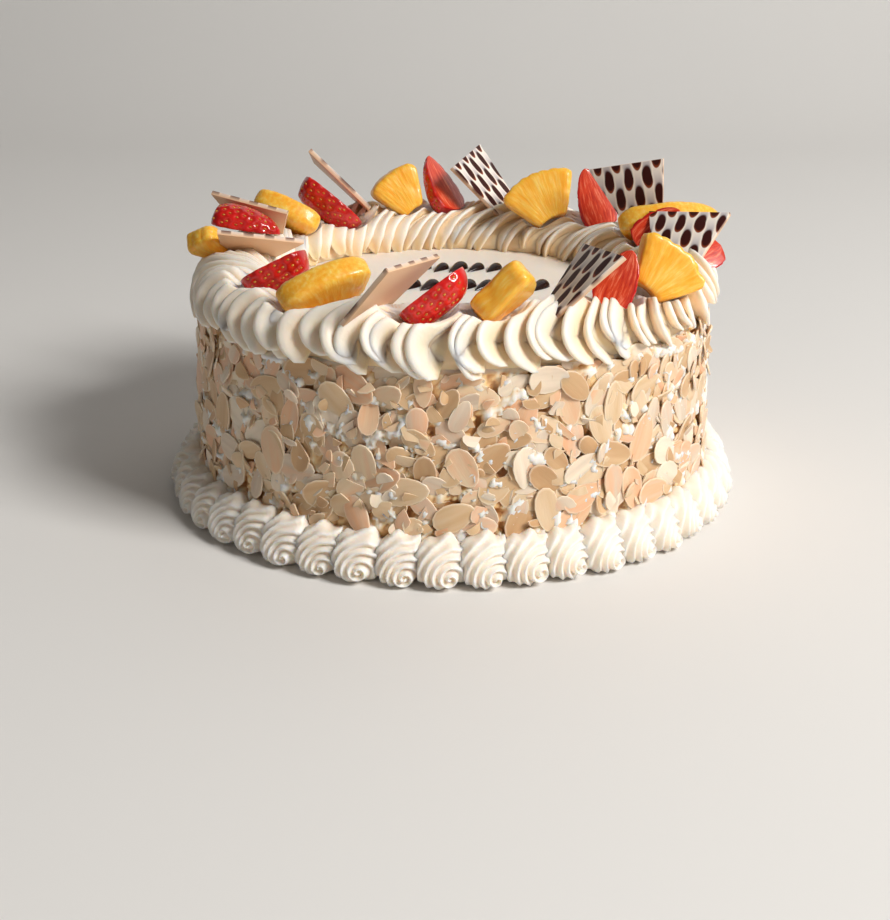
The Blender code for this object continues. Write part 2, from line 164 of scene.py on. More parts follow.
def add_piece(name, points, faces, material, marks):
    """A smooth piece of the cake. A mark is a number or a vector kept at each point."""
    mesh = bpy.data.meshes.new(name)
    mesh.from_pydata(np.asarray(points).reshape(-1, 3).tolist(), [], faces)
    for mark, values in marks.items():
        values = np.asarray(values, dtype=np.float32)
        if values.size == 3 * len(mesh.vertices):
            mesh.attributes.new(mark, "FLOAT_VECTOR", "POINT").data.foreach_set("vector", values.ravel())
        else:
            mesh.attributes.new(mark, "FLOAT", "POINT").data.foreach_set("value", values.ravel())
    mesh.validate()
    bm = bmesh.new()
    bm.from_mesh(mesh)
    bmesh.ops.recalc_face_normals(bm, faces=bm.faces)
    bm.to_mesh(mesh)
    bm.free()
    mesh.shade_smooth()
    mesh.materials.append(material)
    piece = bpy.data.objects.new(name, mesh)
    bpy.context.scene.collection.objects.link(piece)
    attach(piece, "root")
    return piece


def uneven(points, size, octaves, smoothness=1.0):
    """Noise at each point, about -1 to 1, with bumps of a given size."""
    flat = np.asarray(points).reshape(-1, 3) / size
    values = [noise.fractal(Vector(p), smoothness, 2.0, octaves) for p in flat.tolist()]
    return np.array(values).reshape(np.asarray(points).shape[:-1])


def ring_points(radius, angle, height):
    """Points at a radius and a ring angle round the cake's axis, and at a height."""
    radius, angle, height = np.broadcast_arrays(radius, angle, height)
    return np.stack((radius * np.cos(angle), radius * np.sin(angle), height), axis=-1)


def drum_radius(height):
    """Radius of the drum's smooth side, which narrows a little towards the top."""
    return DRUM_FOOT_RADIUS + (DRUM_TOP_RADIUS - DRUM_FOOT_RADIUS) * height / DRUM_HEIGHT


# Whipped cream: fat and air bubbles, so light goes a few millimetres in and comes out warm. It is
# silky and not shiny. Grooves, where light bounces between walls and shade falls, get painted
# shade: their colour is painted yellower, and browner where it is deepest.
whipped_cream, tree = new_tree("whipped_cream")
place = add_node(tree, "TexCoord", {}, {})
# This mark gives how much painted groove shade each point of the cream gets
groove = add_node(tree, "Attribute", {"attribute_name": "groove"}, {})
cloud = add_node(tree, "TexNoise", {}, {
    "Vector": (place, "Object"), "Scale": 1 / CREAM_CLOUDS, "Detail": 3.0})
tint = add_node(tree, "ValToRGB", {}, {"Fac": (groove, "Fac")})
set_stops(tint, ((0.0, CREAM_LIT), (0.82, CREAM_GROOVE_SHADE), (1.0, CREAM_GAP_SHADE)))
mottle = add_node(tree, "Mix", {"data_type": "RGBA", "blend_type": "MULTIPLY"}, {
    0: (cloud, "Fac"), 6: (tint, "Color"), 7: linear(CREAM_CLOUDED)})
bubbles = add_node(tree, "TexNoise", {}, {
    "Vector": (place, "Object"), "Scale": 1 / CREAM_BUBBLES, "Detail": 2.0})
drag = add_node(tree, "TexNoise", {}, {
    "Vector": (place, "Object"), "Scale": 1 / CREAM_DRAG, "Detail": 4.0, "Roughness": 0.6})
fine = add_node(tree, "Bump", {}, {"Height": (bubbles, "Fac"), "Strength": 0.25, "Distance": 0.12 * MM})
relief = add_node(tree, "Bump", {}, {
    "Height": (drag, "Fac"), "Strength": 0.5, "Distance": 0.5 * MM, "Normal": (fine, "Normal")})
shader = add_node(tree, "BsdfPrincipled", {}, {
    "Base Color": (mottle, 2),
    "Roughness": 0.42,
    "IOR": 1.45,
    "Subsurface Weight": 0.6,
    "Subsurface Radius": (1.0, 0.75, 0.5),
    "Subsurface Scale": 3.2 * MM,
    "Normal": (relief, "Normal"),
})
add_node(tree, "OutputMaterial", {}, {"Surface": (shader, "BSDF")})

side_heights = np.linspace(0.0, DRUM_HEIGHT - COAT_EDGE_ROUND, COAT_SIDE_ROWS)
top_radii = np.linspace(DRUM_TOP_RADIUS - COAT_EDGE_ROUND, COAT_TOP_MIDDLE, COAT_TOP_ROWS)
coat_radii = np.concatenate(((COAT_FOOT_MIDDLE,), drum_radius(side_heights), top_radii))
coat_heights = np.concatenate(((0.0,), side_heights, np.full(COAT_TOP_ROWS, DRUM_HEIGHT)))
ring_angles = np.linspace(0, 2 * math.pi, COAT_COLUMNS, endpoint=False)
smooth_coat = ring_points(coat_radii[:, None], ring_angles[None, :], coat_heights[:, None])
smears = np.zeros(smooth_coat.shape[:2])
side_rows = slice(2, COAT_SIDE_ROWS)
side_points = smooth_coat[side_rows]
bare = np.clip(SMEAR_SHARE + SMEAR_SWING * uneven(side_points, SMEAR_PATCH, 2), SMEAR_LEAST, 1)
smears[side_rows] = uneven(side_points, SMEAR_SIZE, 5, 0.5) * bare
# Peaks stand out between the almonds and the rest stays near the drum
smears = np.minimum(np.sign(smears) * np.abs(smears) ** SMEAR_SHARPNESS, SMEAR_CREST)
rough_radii = coat_radii[:, None] + SMEAR_HEIGHT * smears
rough_radii[side_rows] += SMEAR_LIFT
coat_points = ring_points(rough_radii, ring_angles[None, :], coat_heights[:, None])
# Painted shade: a little tint on the top, and more in the low gaps between the almonds, where shade falls
coat_groove_shade = np.full(smears.shape, TOP_GROOVE_SHADE)
coat_groove_shade[side_rows] = np.clip(GAP_GROOVE_SHADE - GAP_SHADE_FALL * smears[side_rows], 0, 1)
coat = add_piece(
    "cream_coat", coat_points, tube_faces(len(coat_radii), COAT_COLUMNS), whipped_cream,
    {"groove": coat_groove_shade})
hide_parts("cake_body")

# Almonds: raw almonds sliced thin, pressed by hand into the wet cream of the side. They overlap
# like shingles at every angle, some are broken, and the cream shows in the gaps.

ALMOND_SEED = 23
ALMOND_BAND = (14.5 * MM, 80.0 * MM)
WHOLE_COUNT = 430
BROKEN_COUNT = 1000
ALMOND_LENGTH = (12.0 * MM, 19.5 * MM)
BROKEN_SHARE = (0.40, 0.95)
ALMOND_WIDTH_SHARE = (0.50, 0.66)
ALMOND_THICKNESS = 0.7 * MM
ALMOND_BLUNT_END = 0.18
ALMOND_CORNERS = 14
# Rings of a flake from the front's middle to the back's: share of its outline, and of its thickness
FLAKE_RINGS = ((0.12, 0.5), (0.55, 0.5), (0.87, 0.5), (0.97, 0.46), (1.0, 0.1), (0.98, -0.45), (0.12, -0.5))
FLAKE_RIM = 0.9
# Curl along a flake and cup across it, as shares of the most
ALMOND_CURL = 0.8 * MM
CURL_SHARE = (-0.3, 1.0)
CUP_SHARE = (-0.5, 0.8)
# Where a broken flake's end is snapped off, how slanting, and how often and where its side is too
SNAP_PLACE = (-0.35, 0.5)
SNAP_SLANT = 0.9
SIDE_SNAP_ODDS = 0.45
SIDE_SNAP_PLACE = (-0.3, 0.4)
ALMOND_BEDDING = 0.7 * MM
ALMOND_LAYERS = 2.0 * MM
ALMOND_STRAY = 0.03
ALMOND_TILT = 8.5
BROKEN_TILT = 15.0
ALMOND_CRISP = 38

ALMOND_STOPS = (
    (0.0, "#C69C70"), (0.22, "#D8B58A"), (0.42, "#E5CAA8"),
    (0.6, "#EBB58C"), (0.8, "#DAC5AE"), (1.0, "#F5E2CA"))
ALMOND_RIM_GLOW = "#F6E6CF"
# The fibres are drawn coarser than the real ones, which are too fine to show
ALMOND_GRAIN = 0.6 * MM
ALMOND_GRAIN_STRETCH = 0.15
ALMOND_BLOTCH = 5.0 * MM


def flake_template():
    """A thin plate with a rounded rim, blunt at one end: its points, its faces and its rim."""
    turn = 2 * math.pi * np.arange(ALMOND_CORNERS) / ALMOND_CORNERS
    blunt = 1 - ALMOND_BLUNT_END * np.cos(turn)
    outline = np.stack((np.cos(turn), np.sin(turn) * blunt), axis=-1)
    points = [
        np.column_stack((outline * reach, np.full(ALMOND_CORNERS, lift))) for reach, lift in FLAKE_RINGS]
    rim = [np.full(ALMOND_CORNERS, reach > FLAKE_RIM) for reach, _ in FLAKE_RINGS]
    return np.concatenate(points), tube_faces(len(FLAKE_RINGS), ALMOND_CORNERS), np.concatenate(rim)


def almond_flakes(name, count, broken, draw):
    """Spread flakes evenly over the side, each with a drawn size, turn, tilt, curl and layer."""
    template, template_faces, template_rim = flake_template()
    golden = math.pi * (3 - math.sqrt(5))
    points, faces, shade, rim, grain = [], [], [], [], []
    for step in range(count):
        length = draw.uniform(*ALMOND_LENGTH) * (draw.uniform(*BROKEN_SHARE) if broken else 1.0)
        width = length * draw.uniform(*ALMOND_WIDTH_SHARE)
        local = template * (length / 2, width / 2, ALMOND_THICKNESS)
        if broken:
            cut = draw.uniform(*SNAP_PLACE) * length / 2
            slope = draw.uniform(-SNAP_SLANT, SNAP_SLANT)
            local[:, 0] = np.minimum(local[:, 0], cut + slope * local[:, 1])
            if draw.random() < SIDE_SNAP_ODDS:
                local[:, 1] = np.minimum(local[:, 1], draw.uniform(*SIDE_SNAP_PLACE) * width / 2)
        along = local[:, 0] / (length / 2)
        across = local[:, 1] / (width / 2)
        curl = draw.uniform(*CURL_SHARE) * ALMOND_CURL
        cup = draw.uniform(*CUP_SHARE) * ALMOND_CURL
        local[:, 2] += curl * (0.5 - along ** 2) + cup * (0.5 - across ** 2)
        room = (ALMOND_BAND[1] - ALMOND_BAND[0] - width) * (step + draw.random()) / count
        height = ALMOND_BAND[0] + width / 2 + room
        angle = step * golden + draw.uniform(-ALMOND_STRAY, ALMOND_STRAY)
        reach = min(height - ALMOND_BAND[0], ALMOND_BAND[1] - height) / (length / 2)
        steepest = math.asin(min(1.0, reach))
        turn = draw.uniform(-steepest, steepest)
        tilt = math.radians(draw.gauss(0, BROKEN_TILT if broken else ALMOND_TILT))
        hinge = draw.uniform(0, 2 * math.pi)
        layer = draw.random() * ALMOND_LAYERS
        radius = drum_radius(height) + ALMOND_BEDDING + layer
        matrix = (
            Matrix.Translation((radius * math.cos(angle), radius * math.sin(angle), height))
            @ Matrix.Rotation(angle, 4, "Z")
            @ Matrix.Rotation(math.pi / 2, 4, "Y")
            @ Matrix.Rotation(math.pi / 2 + turn, 4, "Z")
            @ Matrix.Rotation(tilt, 4, (math.cos(hinge), math.sin(hinge), 0))
        )
        turned = np.array(matrix.to_3x3())
        faces.extend(shifted(template_faces, len(template) * len(points)))
        points.append(local @ turned.T + np.array(matrix.translation))
        shade.append(np.full(len(template), draw.random()))
        rim.append(template_rim)
        grain.append(np.column_stack((
            local[:, 0] * ALMOND_GRAIN_STRETCH, local[:, 1], np.full(len(template), step * 10 * MM))))
    piece = add_piece(name, np.concatenate(points), faces, sliced_almond, {
        "shade": np.concatenate(shade), "rim": np.concatenate(rim), "grain": np.concatenate(grain)})
    piece.data.set_sharp_from_angle(angle=math.radians(ALMOND_CRISP))


# Sliced almond: dry, waxy and a little see-through. Its thin rims are painted paler, as painted
# light where light shines through them. Colour goes from beige to peach flake by flake, and faint
# fibres run along each one.
sliced_almond, tree = new_tree("sliced_almond")
shade = add_node(tree, "Attribute", {"attribute_name": "shade"}, {})
rim = add_node(tree, "Attribute", {"attribute_name": "rim"}, {})
grain = add_node(tree, "Attribute", {"attribute_name": "grain"}, {})
fibres = add_node(tree, "TexNoise", {}, {
    "Vector": (grain, "Vector"), "Scale": 1 / ALMOND_GRAIN, "Detail": 3.0})
blotch = add_node(tree, "TexNoise", {}, {
    "Vector": (grain, "Vector"), "Scale": 1 / ALMOND_BLOTCH, "Detail": 2.0})
shift = add_node(tree, "Math", {"operation": "MULTIPLY_ADD"}, {0: (blotch, "Fac"), 1: 0.5, 2: -0.25})
spread = add_node(tree, "Math", {"operation": "ADD"}, {0: (shade, "Fac"), 1: (shift, 0)})
ramp = add_node(tree, "ValToRGB", {}, {"Fac": (spread, 0)})
set_stops(ramp, ALMOND_STOPS)
# Painted light: the rims are tinted paler, where light shines through the thin edge
rim_glow = add_node(tree, "Math", {"operation": "MULTIPLY"}, {0: (rim, "Fac"), 1: (blotch, "Fac")})
flesh = add_node(tree, "Mix", {"data_type": "RGBA"}, {
    0: (rim_glow, 0), 6: (ramp, "Color"), 7: linear(ALMOND_RIM_GLOW)})
relief = add_node(tree, "Bump", {}, {"Height": (fibres, "Fac"), "Strength": 0.4, "Distance": 0.15 * MM})
shader = add_node(tree, "BsdfPrincipled", {}, {
    "Base Color": (flesh, 2),
    "Roughness": 0.42,
    "IOR": 1.47,
    "Subsurface Weight": 0.25,
    "Subsurface Radius": (1.0, 0.6, 0.35),
    "Subsurface Scale": 1.2 * MM,
    "Normal": (relief, "Normal"),
})
add_node(tree, "OutputMaterial", {}, {"Surface": (shader, "BSDF")})

almond_draw = random.Random(ALMOND_SEED)
almond_flakes("almond_flakes_whole", WHOLE_COUNT, False, almond_draw)
almond_flakes("almond_flakes_broken", BROKEN_COUNT, True, almond_draw)

# Drops on top: dark chocolate piped in two short rows on the flat cream. Each is a teardrop that
# ends in the thin tail left as the piping bag was pulled away.

# Middle and number of drops of each row
DROP_ROWS = ((2.0 * MM, 36.0 * MM, 5), (9.0 * MM, 6.0 * MM, 8))
DROP_PITCH = 7.6 * MM
DROP_LENGTH = 12.0 * MM
DROP_WIDTH = 6.2 * MM
DROP_HEIGHT = 3.0 * MM
DROP_SLANT = 32.0
DROP_TURN = 6
DROP_SIZES = 0.12
DROP_BEND = 0.8
DROP_SEED = 4
DROP_RINGS = 22
DROP_CORNERS = 16
# A drop's widest place, its roundness, how it thins towards the tail, and its least share
DROP_NOSE, DROP_ROUNDNESS, DROP_THINNING, DROP_END = 0.62, 0.8, 0.35, 0.02

# Dark chocolate, melted and set: nearly black, smooth, with a bright skin
dark_chocolate, tree = new_tree("dark_chocolate_glossy")
place = add_node(tree, "TexCoord", {}, {})
bloom = add_node(tree, "TexNoise", {}, {"Vector": (place, "Object"), "Scale": 1 / (3 * MM), "Detail": 3.0})
ramp = add_node(tree, "ValToRGB", {}, {"Fac": (bloom, "Fac")})
set_stops(ramp, ((0.3, "#170C0A"), (0.75, "#2B1712")))
relief = add_node(tree, "Bump", {}, {"Height": (bloom, "Fac"), "Strength": 0.3, "Distance": 0.2 * MM})
shader = add_node(tree, "BsdfPrincipled", {}, {
    "Base Color": (ramp, "Color"), "Roughness": 0.16, "IOR": 1.5, "Normal": (relief, "Normal")})
add_node(tree, "OutputMaterial", {}, {"Surface": (shader, "BSDF")})

drop_draw = random.Random(DROP_SEED)
share = np.linspace(0.0, 1.0, DROP_RINGS)[:, None]
round_the_drop = np.linspace(0, 2 * math.pi, DROP_CORNERS, endpoint=False)[None, :]
fullness = np.sin(math.pi * share ** DROP_NOSE) ** DROP_ROUNDNESS * (1 - DROP_THINNING * share) + DROP_END
drop_points, drop_faces = [], []
for middle_x, middle_y, count in DROP_ROWS:
    for i in range(count):
        size = 1 + drop_draw.uniform(-DROP_SIZES, DROP_SIZES)
        bend = drop_draw.uniform(-DROP_BEND, DROP_BEND) * MM
        x = (0.5 - share + 0 * round_the_drop) * DROP_LENGTH * size
        y = fullness * np.cos(round_the_drop) * DROP_WIDTH / 2 * size + bend * share ** 2
        z = fullness * np.sin(round_the_drop) * DROP_HEIGHT * size
        turn = math.radians(90 - DROP_SLANT + drop_draw.uniform(-DROP_TURN, DROP_TURN))
        middle = np.array((middle_x + (i - (count - 1) / 2) * DROP_PITCH, middle_y, DRUM_HEIGHT))
        turned = np.stack((
            x * math.cos(turn) - y * math.sin(turn), x * math.sin(turn) + y * math.cos(turn), z), -1)
        drop_faces.extend(shifted(
            tube_faces(DROP_RINGS, DROP_CORNERS), DROP_RINGS * DROP_CORNERS * len(drop_points)))
        drop_points.append(turned + middle)
add_piece("chocolate_drops", np.concatenate(drop_points), drop_faces, dark_chocolate, {})

# Bottom border: cream shells piped side by side round the foot through a small star nozzle. Each
# curls once to the right, so its ribs wrap round a low centre and end as teeth along the top.

SHELL_COUNT = 45
SHELL_WALL = 103.2 * MM
SHELL_DEPTH = 14.0 * MM
SHELL_HALF_WIDTH = 9.4 * MM
SHELL_HALF_HEIGHT = 8.9 * MM
SHELL_BOXINESS = 2.6
SHELL_SET_BACK = 0.24
SHELL_RIM = 0.34
SHELL_RIGHT_UNDER = 0.20
SHELL_CURL_MIDDLE = (3.2 * MM, 4.6 * MM)
SHELL_CURL_HEIGHT = 1.4 * MM
SHELL_CURL_REACH = 4.0 * MM
SHELL_CURL_STRAY = ((-1.0, 1.2), (-0.5, 0.9))
SHELL_SIZES = (0.95, 1.03)
SHELL_HEIGHTS = (0.93, 1.04)
SHELL_RIB_PITCH = 2.6 * MM
SHELL_RIB_HEIGHT = 2.3 * MM
SHELL_RIB_CLIMB = 0.35
SHELL_TEETH = 2.8 * MM
# Painted shade in the valleys between a shell's ribs
SHELL_GROOVE_SHADE = 0.22
SHELL_SEED = 5
SHELL_FIRST_REACH = 6.0 * MM
SHELL_REACH_STEPS = 40
SHELL_ROWS = 39
SHELL_COLUMNS = 56

shell_draw = random.Random(SHELL_SEED)
reach = np.append(np.linspace(0.02, 1.0, SHELL_ROWS - 1), 0.97)[:, None]
turn = np.linspace(0, 2 * math.pi, SHELL_COLUMNS, endpoint=False)[None, :]
shell_points, shell_faces, shell_groove_shade = [], [], []
for i in range(SHELL_COUNT):
    size = shell_draw.uniform(*SHELL_SIZES)
    middle_t = SHELL_CURL_MIDDLE[0] + shell_draw.uniform(*SHELL_CURL_STRAY[0]) * MM
    middle_z = SHELL_CURL_MIDDLE[1] + shell_draw.uniform(*SHELL_CURL_STRAY[1]) * MM
    half_width = SHELL_HALF_WIDTH * size
    half_height = SHELL_HALF_HEIGHT * shell_draw.uniform(*SHELL_HEIGHTS)
    # Where a ray from the curl's middle meets the shell's rounded outline, found step by step
    edge = np.full_like(turn, SHELL_FIRST_REACH)
    for _ in range(SHELL_REACH_STEPS):
        t = (middle_t + edge * np.cos(turn)) / half_width
        z = (middle_z + edge * np.sin(turn) - half_height) / half_height
        edge = edge / (np.abs(t) ** SHELL_BOXINESS + np.abs(z) ** SHELL_BOXINESS) ** 0.25
    # A rib is steep on its inner side. It runs out past the outline where it meets it: a tooth
    twist = shell_draw.random() + turn / (2 * math.pi)
    ribs = []
    for distance in (edge, reach * edge):
        step = (distance / (SHELL_RIB_PITCH * size) + twist) % 1.0
        climbing, falling = step / SHELL_RIB_CLIMB, (1 - step) / (1 - SHELL_RIB_CLIMB)
        ribs.append(np.where(step < SHELL_RIB_CLIMB, climbing, falling) ** 1.3)
    teeth = SHELL_TEETH * ribs[0] * np.clip(np.sin(turn + 0.9), 0, 1) ** 0.5
    distance = reach * edge + teeth * reach ** 6
    rib = ribs[1]
    t = middle_t + distance * np.cos(turn)
    z = middle_z + distance * np.sin(turn)
    dome = SHELL_RIM + (1 - SHELL_RIM) * np.clip(1 - reach ** 3.4, 0, 1) ** 0.55
    dome[-1] = 0.0
    back = (1 - SHELL_SET_BACK * z / (2 * half_height)) * (1 - SHELL_RIGHT_UNDER * t / half_width)
    curl = np.exp(-(distance / SHELL_CURL_REACH) ** 2) * SHELL_CURL_HEIGHT
    out = SHELL_DEPTH * size * dome * back + (rib - 0.5) * SHELL_RIB_HEIGHT * (0.3 + 0.7 * dome) + curl
    spread = distance + (rib - 0.5) * SHELL_RIB_HEIGHT * 0.4 * reach
    t = middle_t + spread * np.cos(turn)
    z = np.maximum(middle_z + spread * np.sin(turn), 0.0)
    angle = 2 * math.pi * (i + 0.5) / SHELL_COUNT + t / (SHELL_WALL + SHELL_DEPTH * 0.6)
    shell_points.append(ring_points(SHELL_WALL + out, angle, z).reshape(-1, 3))
    # Painted shade: darker, yellower cream in the valleys between the ribs and at the shell's outer edge
    shell_groove_shade.append(np.clip((1 - rib) * SHELL_GROOVE_SHADE + (1 - dome) ** 3 * 0.2, 0, 1).ravel())
    shell_faces.extend(shifted(tube_faces(SHELL_ROWS, SHELL_COLUMNS), SHELL_ROWS * SHELL_COLUMNS * i))
shells = add_piece("cream_shell_border", np.concatenate(shell_points), shell_faces, whipped_cream, {
    "groove": np.concatenate(shell_groove_shade)})
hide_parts("bottom_border")

# Top border: one rope of cream piped in leaning loops over the edge with a large star nozzle.
# The nozzle's ridges lie over each other like shingles, thin out at both ends and hang in tips.

ROPE_RADIUS = 87.6 * MM
ROPE_HALF_WIDTH = 16.6 * MM
ROPE_HEIGHT = 17.4 * MM
ROPE_FOOT = 79.3 * MM
ROPE_FULLNESS = 0.86
ROPE_OUTER_DROP = 3.0
ROPE_CORE_INSET = 3.1 * MM
ROPE_CORE_SWEEP = 182
ROPE_CORE_ROWS = 20
ROPE_CORE_COLUMNS = 240
# Painted groove shade on the smooth core, which lies under the ridges
ROPE_CORE_SHADE = 0.6
ROPE_SEED = 9
ROPE_SWELL = 0.5
ROPE_ROUGHNESS = 0.5 * MM
ROPE_ROUGH_SIZE = 11.0 * MM
STRAND_COUNT = 88
STRAND_ROWS = 48
STRAND_SIZES = (0.85, 1.3)
STRAND_HEIGHTS = (0.78, 1.12)
STRAND_PAIRING = 0.14
STRAND_STRAY = 0.14
STRAND_SECOND_LOWER = 0.9 * MM
STRAND_PROUD = 0.7
STRAND_SINK = 0.8 * MM
# Where a ridge starts and how far its ends stray, in degrees round the rope's section
STRAND_FOOT = 184
STRAND_FOOT_STRAY = (-9, 6)
STRAND_TIP_STRAY = (-9, 7)
STRAND_TIP_OUT = 0.8 * MM
# The ridge's lean along the rope, as a curve in its share of the way from foot to tip
STRAND_LEAN = (20.0 * MM, 14.4 * MM, -174.2 * MM, 130.8 * MM)
STRAND_LEAN_SHARE = (0.85, 1.15)
STRAND_HOOK = 4.0 * MM
STRAND_HOOK_SHARE = (-0.1, 1.3)
STRAND_TOE = 4.0 * MM
STRAND_BLUNT = (0.35, 0.7)
STRAND_INNER_TAPER = 0.16
STRAND_INNER_WIDTH = 0.5
STRAND_OUTER_WIDTH = 0.3
STRAND_OUTER_TAPER = 0.18
STRAND_END = 0.03
# The most painted groove shade a ridge gets
STRAND_MOST_SHADE = 0.7
# One ridge's section in shares of the ridge spacing: along the rope to the right, then outward.
# It climbs gently out of its own scoop, and its rim leans to the left over the scoop before.
STRAND_SECTION = np.array((
    (0.70, -0.52), (0.55, -0.46), (0.40, -0.36), (0.26, -0.23), (0.12, -0.06), (-0.01, 0.14),
    (-0.13, 0.31), (-0.25, 0.42), (-0.35, 0.43), (-0.41, 0.35), (-0.40, 0.21), (-0.34, 0.05),
    (-0.28, -0.12), (-0.27, -0.32), (-0.32, -0.55), (0.15, -0.66)))


def rope_surface(section_angle, inset):
    """Radius and height of the rope's smooth section, at an angle from its outward side."""
    out = np.cos(section_angle)
    up = np.sin(section_angle)
    radius = ROPE_RADIUS + (ROPE_HALF_WIDTH - inset) * np.sign(out) * np.abs(out) ** ROPE_FULLNESS
    height = ROPE_FOOT + (ROPE_HEIGHT - inset) * np.sign(up) * np.abs(up) ** ROPE_FULLNESS
    return radius, height


def strand(number, draw):
    """One ridge of the rope on its leaning path from the inner foot to the hooked tip."""
    size = draw.uniform(*STRAND_SIZES)
    tall = draw.uniform(*STRAND_HEIGHTS)
    lean_share = draw.uniform(*STRAND_LEAN_SHARE)
    proud = draw.uniform(-STRAND_PROUD, STRAND_PROUD) * MM - STRAND_SECOND_LOWER * (number % 2)
    foot = STRAND_FOOT + draw.uniform(*STRAND_FOOT_STRAY)
    tip = draw.uniform(*STRAND_TIP_STRAY)
    hook = draw.uniform(*STRAND_HOOK_SHARE) * STRAND_HOOK
    toe = draw.uniform(-1.0, 1.0) * STRAND_TOE
    blunt = draw.uniform(*STRAND_BLUNT)
    paired = STRAND_PAIRING * (number % 2)
    base = 2 * math.pi * (number + draw.uniform(-STRAND_STRAY, STRAND_STRAY) - paired) / STRAND_COUNT
    # The rope swells and sinks slowly on its way round
    slow = math.sin(3 * base + 1) + math.sin(5 * base + 2) * 0.6
    share = np.linspace(0.0, 1.0, STRAND_ROWS)
    section_angle = np.radians(foot - share * (foot + ROPE_OUTER_DROP + tip))
    radius, height = rope_surface(section_angle, 0.0)
    lean = sum(amount * share ** power for power, amount in enumerate(STRAND_LEAN))
    curl = np.clip((share - 0.78) / 0.22, 0, 1) ** 2
    inner = (1 - np.clip(share / 0.25, 0, 1)) ** 2
    angle = base + (lean * lean_share + hook * curl + toe * inner) / ROPE_RADIUS
    normal_out = np.cos(section_angle)
    normal_up = np.sin(section_angle)
    lift = proud + slow * ROPE_SWELL * MM - STRAND_SINK
    path = ring_points(radius + lift * normal_out + STRAND_TIP_OUT * curl, angle, height + lift * normal_up)
    normal = np.stack((normal_out * np.cos(angle), normal_out * np.sin(angle), normal_up), axis=-1)
    along = np.gradient(path, axis=0)
    along = along / np.linalg.norm(along, axis=1, keepdims=True)
    to_right = np.cross(normal, along)
    to_right = to_right / np.linalg.norm(to_right, axis=1, keepdims=True)
    normal = np.cross(along, to_right)
    thin_in = np.clip(share / STRAND_INNER_TAPER, 0, 1) ** 0.5
    past = np.clip((share - 1 + STRAND_OUTER_TAPER) / STRAND_OUTER_TAPER, 0, 1)
    ends = thin_in * (1 - past ** 2.4) ** blunt + STRAND_END
    spacing = 2 * math.pi * radius / STRAND_COUNT
    wide = 1 + STRAND_INNER_WIDTH * np.clip(1 - share / 0.45, 0, 1)
    wide = wide + STRAND_OUTER_WIDTH * np.clip((share - 0.45) / 0.35, 0, 1)
    sideways = (spacing * size * wide * ends)[:, None] * STRAND_SECTION[:, 0]
    outward = (spacing * tall * ends)[:, None] * STRAND_SECTION[:, 1]
    points = path[:, None, :] + sideways[:, :, None] * to_right[:, None, :]
    points = points + outward[:, :, None] * normal[:, None, :]
    # Painted shade: a ridge's scoop and lower side are tinted more than its rim, and its inner foot more
    # still
    deep = 0.72 - (STRAND_SECTION[:, 1] + 0.5) * 0.65
    at_foot = np.clip(1 - share / 0.14, 0, 1)
    return points, np.clip(deep[None, :] + 0.5 * at_foot[:, None], 0, STRAND_MOST_SHADE)


rope_draw = random.Random(ROPE_SEED)
# A smooth core fills the rope under its ridges
core_share = np.linspace(0, 1, ROPE_CORE_ROWS)[:, None]
core_angle = np.linspace(0, 2 * math.pi, ROPE_CORE_COLUMNS, endpoint=False)[None, :]
core_radius, core_height = rope_surface(np.radians(180 - core_share * ROPE_CORE_SWEEP), ROPE_CORE_INSET)
core_size = ROPE_CORE_ROWS * ROPE_CORE_COLUMNS
rope_points = [ring_points(core_radius, core_angle, core_height).reshape(-1, 3)]
# The core is painted with groove shade all over
rope_groove_shade = [np.full(core_size, ROPE_CORE_SHADE)]
rope_faces = grid_quads(ROPE_CORE_ROWS, ROPE_CORE_COLUMNS, wrap_rows=True)
strand_faces = tube_faces(STRAND_ROWS, len(STRAND_SECTION))
for number in range(STRAND_COUNT):
    points, groove = strand(number, rope_draw)
    rope_points.append(points.reshape(-1, 3))
    rope_groove_shade.append(groove.ravel())
    rope_faces.extend(shifted(strand_faces, core_size + number * STRAND_ROWS * len(STRAND_SECTION)))
rope_points = np.concatenate(rope_points)
rough = uneven(rope_points, ROPE_ROUGH_SIZE, 4)[:, None]
rope_points = rope_points + ROPE_ROUGHNESS * rough * (1, 1, 0.6)
rope = add_piece("cream_rope_border", rope_points, rope_faces, whipped_cream, {
    "groove": np.concatenate(rope_groove_shade)})
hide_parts("top_border")

# Pineapple: pieces cut from cored slices of ripe or tinned fruit, laid on the rope. The rim keeps
# the scallops of the eyes, and juice makes them shine.

# Ring angle, ring radius, height, azimuth, elevation and roll of the slice's axis, then sector
# angle, outer radius, radial length and thickness (degrees and mm)
PINEAPPLES = (
    (-123, 84, 99, 121, 40, -25, 62, 38.0, 21.0, 10.5),
    (-78, 87, 101, -35, -38, -39, 40, 36.0, 23.0, 10.5),
    (-33, 94, 101, -86, 19, -43, 60, 31.5, 19.5, 11.0),
    (20, 98, 101, 99, 45, 0, 78, 39.0, 18.0, 11.0),
    (60, 79, 104, -90, 21, 25, 62, 34.0, 21.0, 11.0),
    (106, 87, 103, -77, 15, 32, 46, 33.0, 20.0, 11.0),
    (148, 84, 101, 53, 48, 35, 52, 38.0, 20.0, 10.0),
    (-179, 98, 99, 98, 50, -43, 30, 31.0, 15.0, 9.5),
)
SLICE_DIVISIONS = 30
# How square each piece is: soft wedges are rounder than crisp fans
SLICE_SQUARE = (4.6, 7.0, 9.0, 5.0, 9.0, 6.5, 4.6, 4.4)
SCALLOP_PITCH = 5.0 * MM
SCALLOP_HEIGHT = 1.0 * MM
SCALLOP_RIM = 9
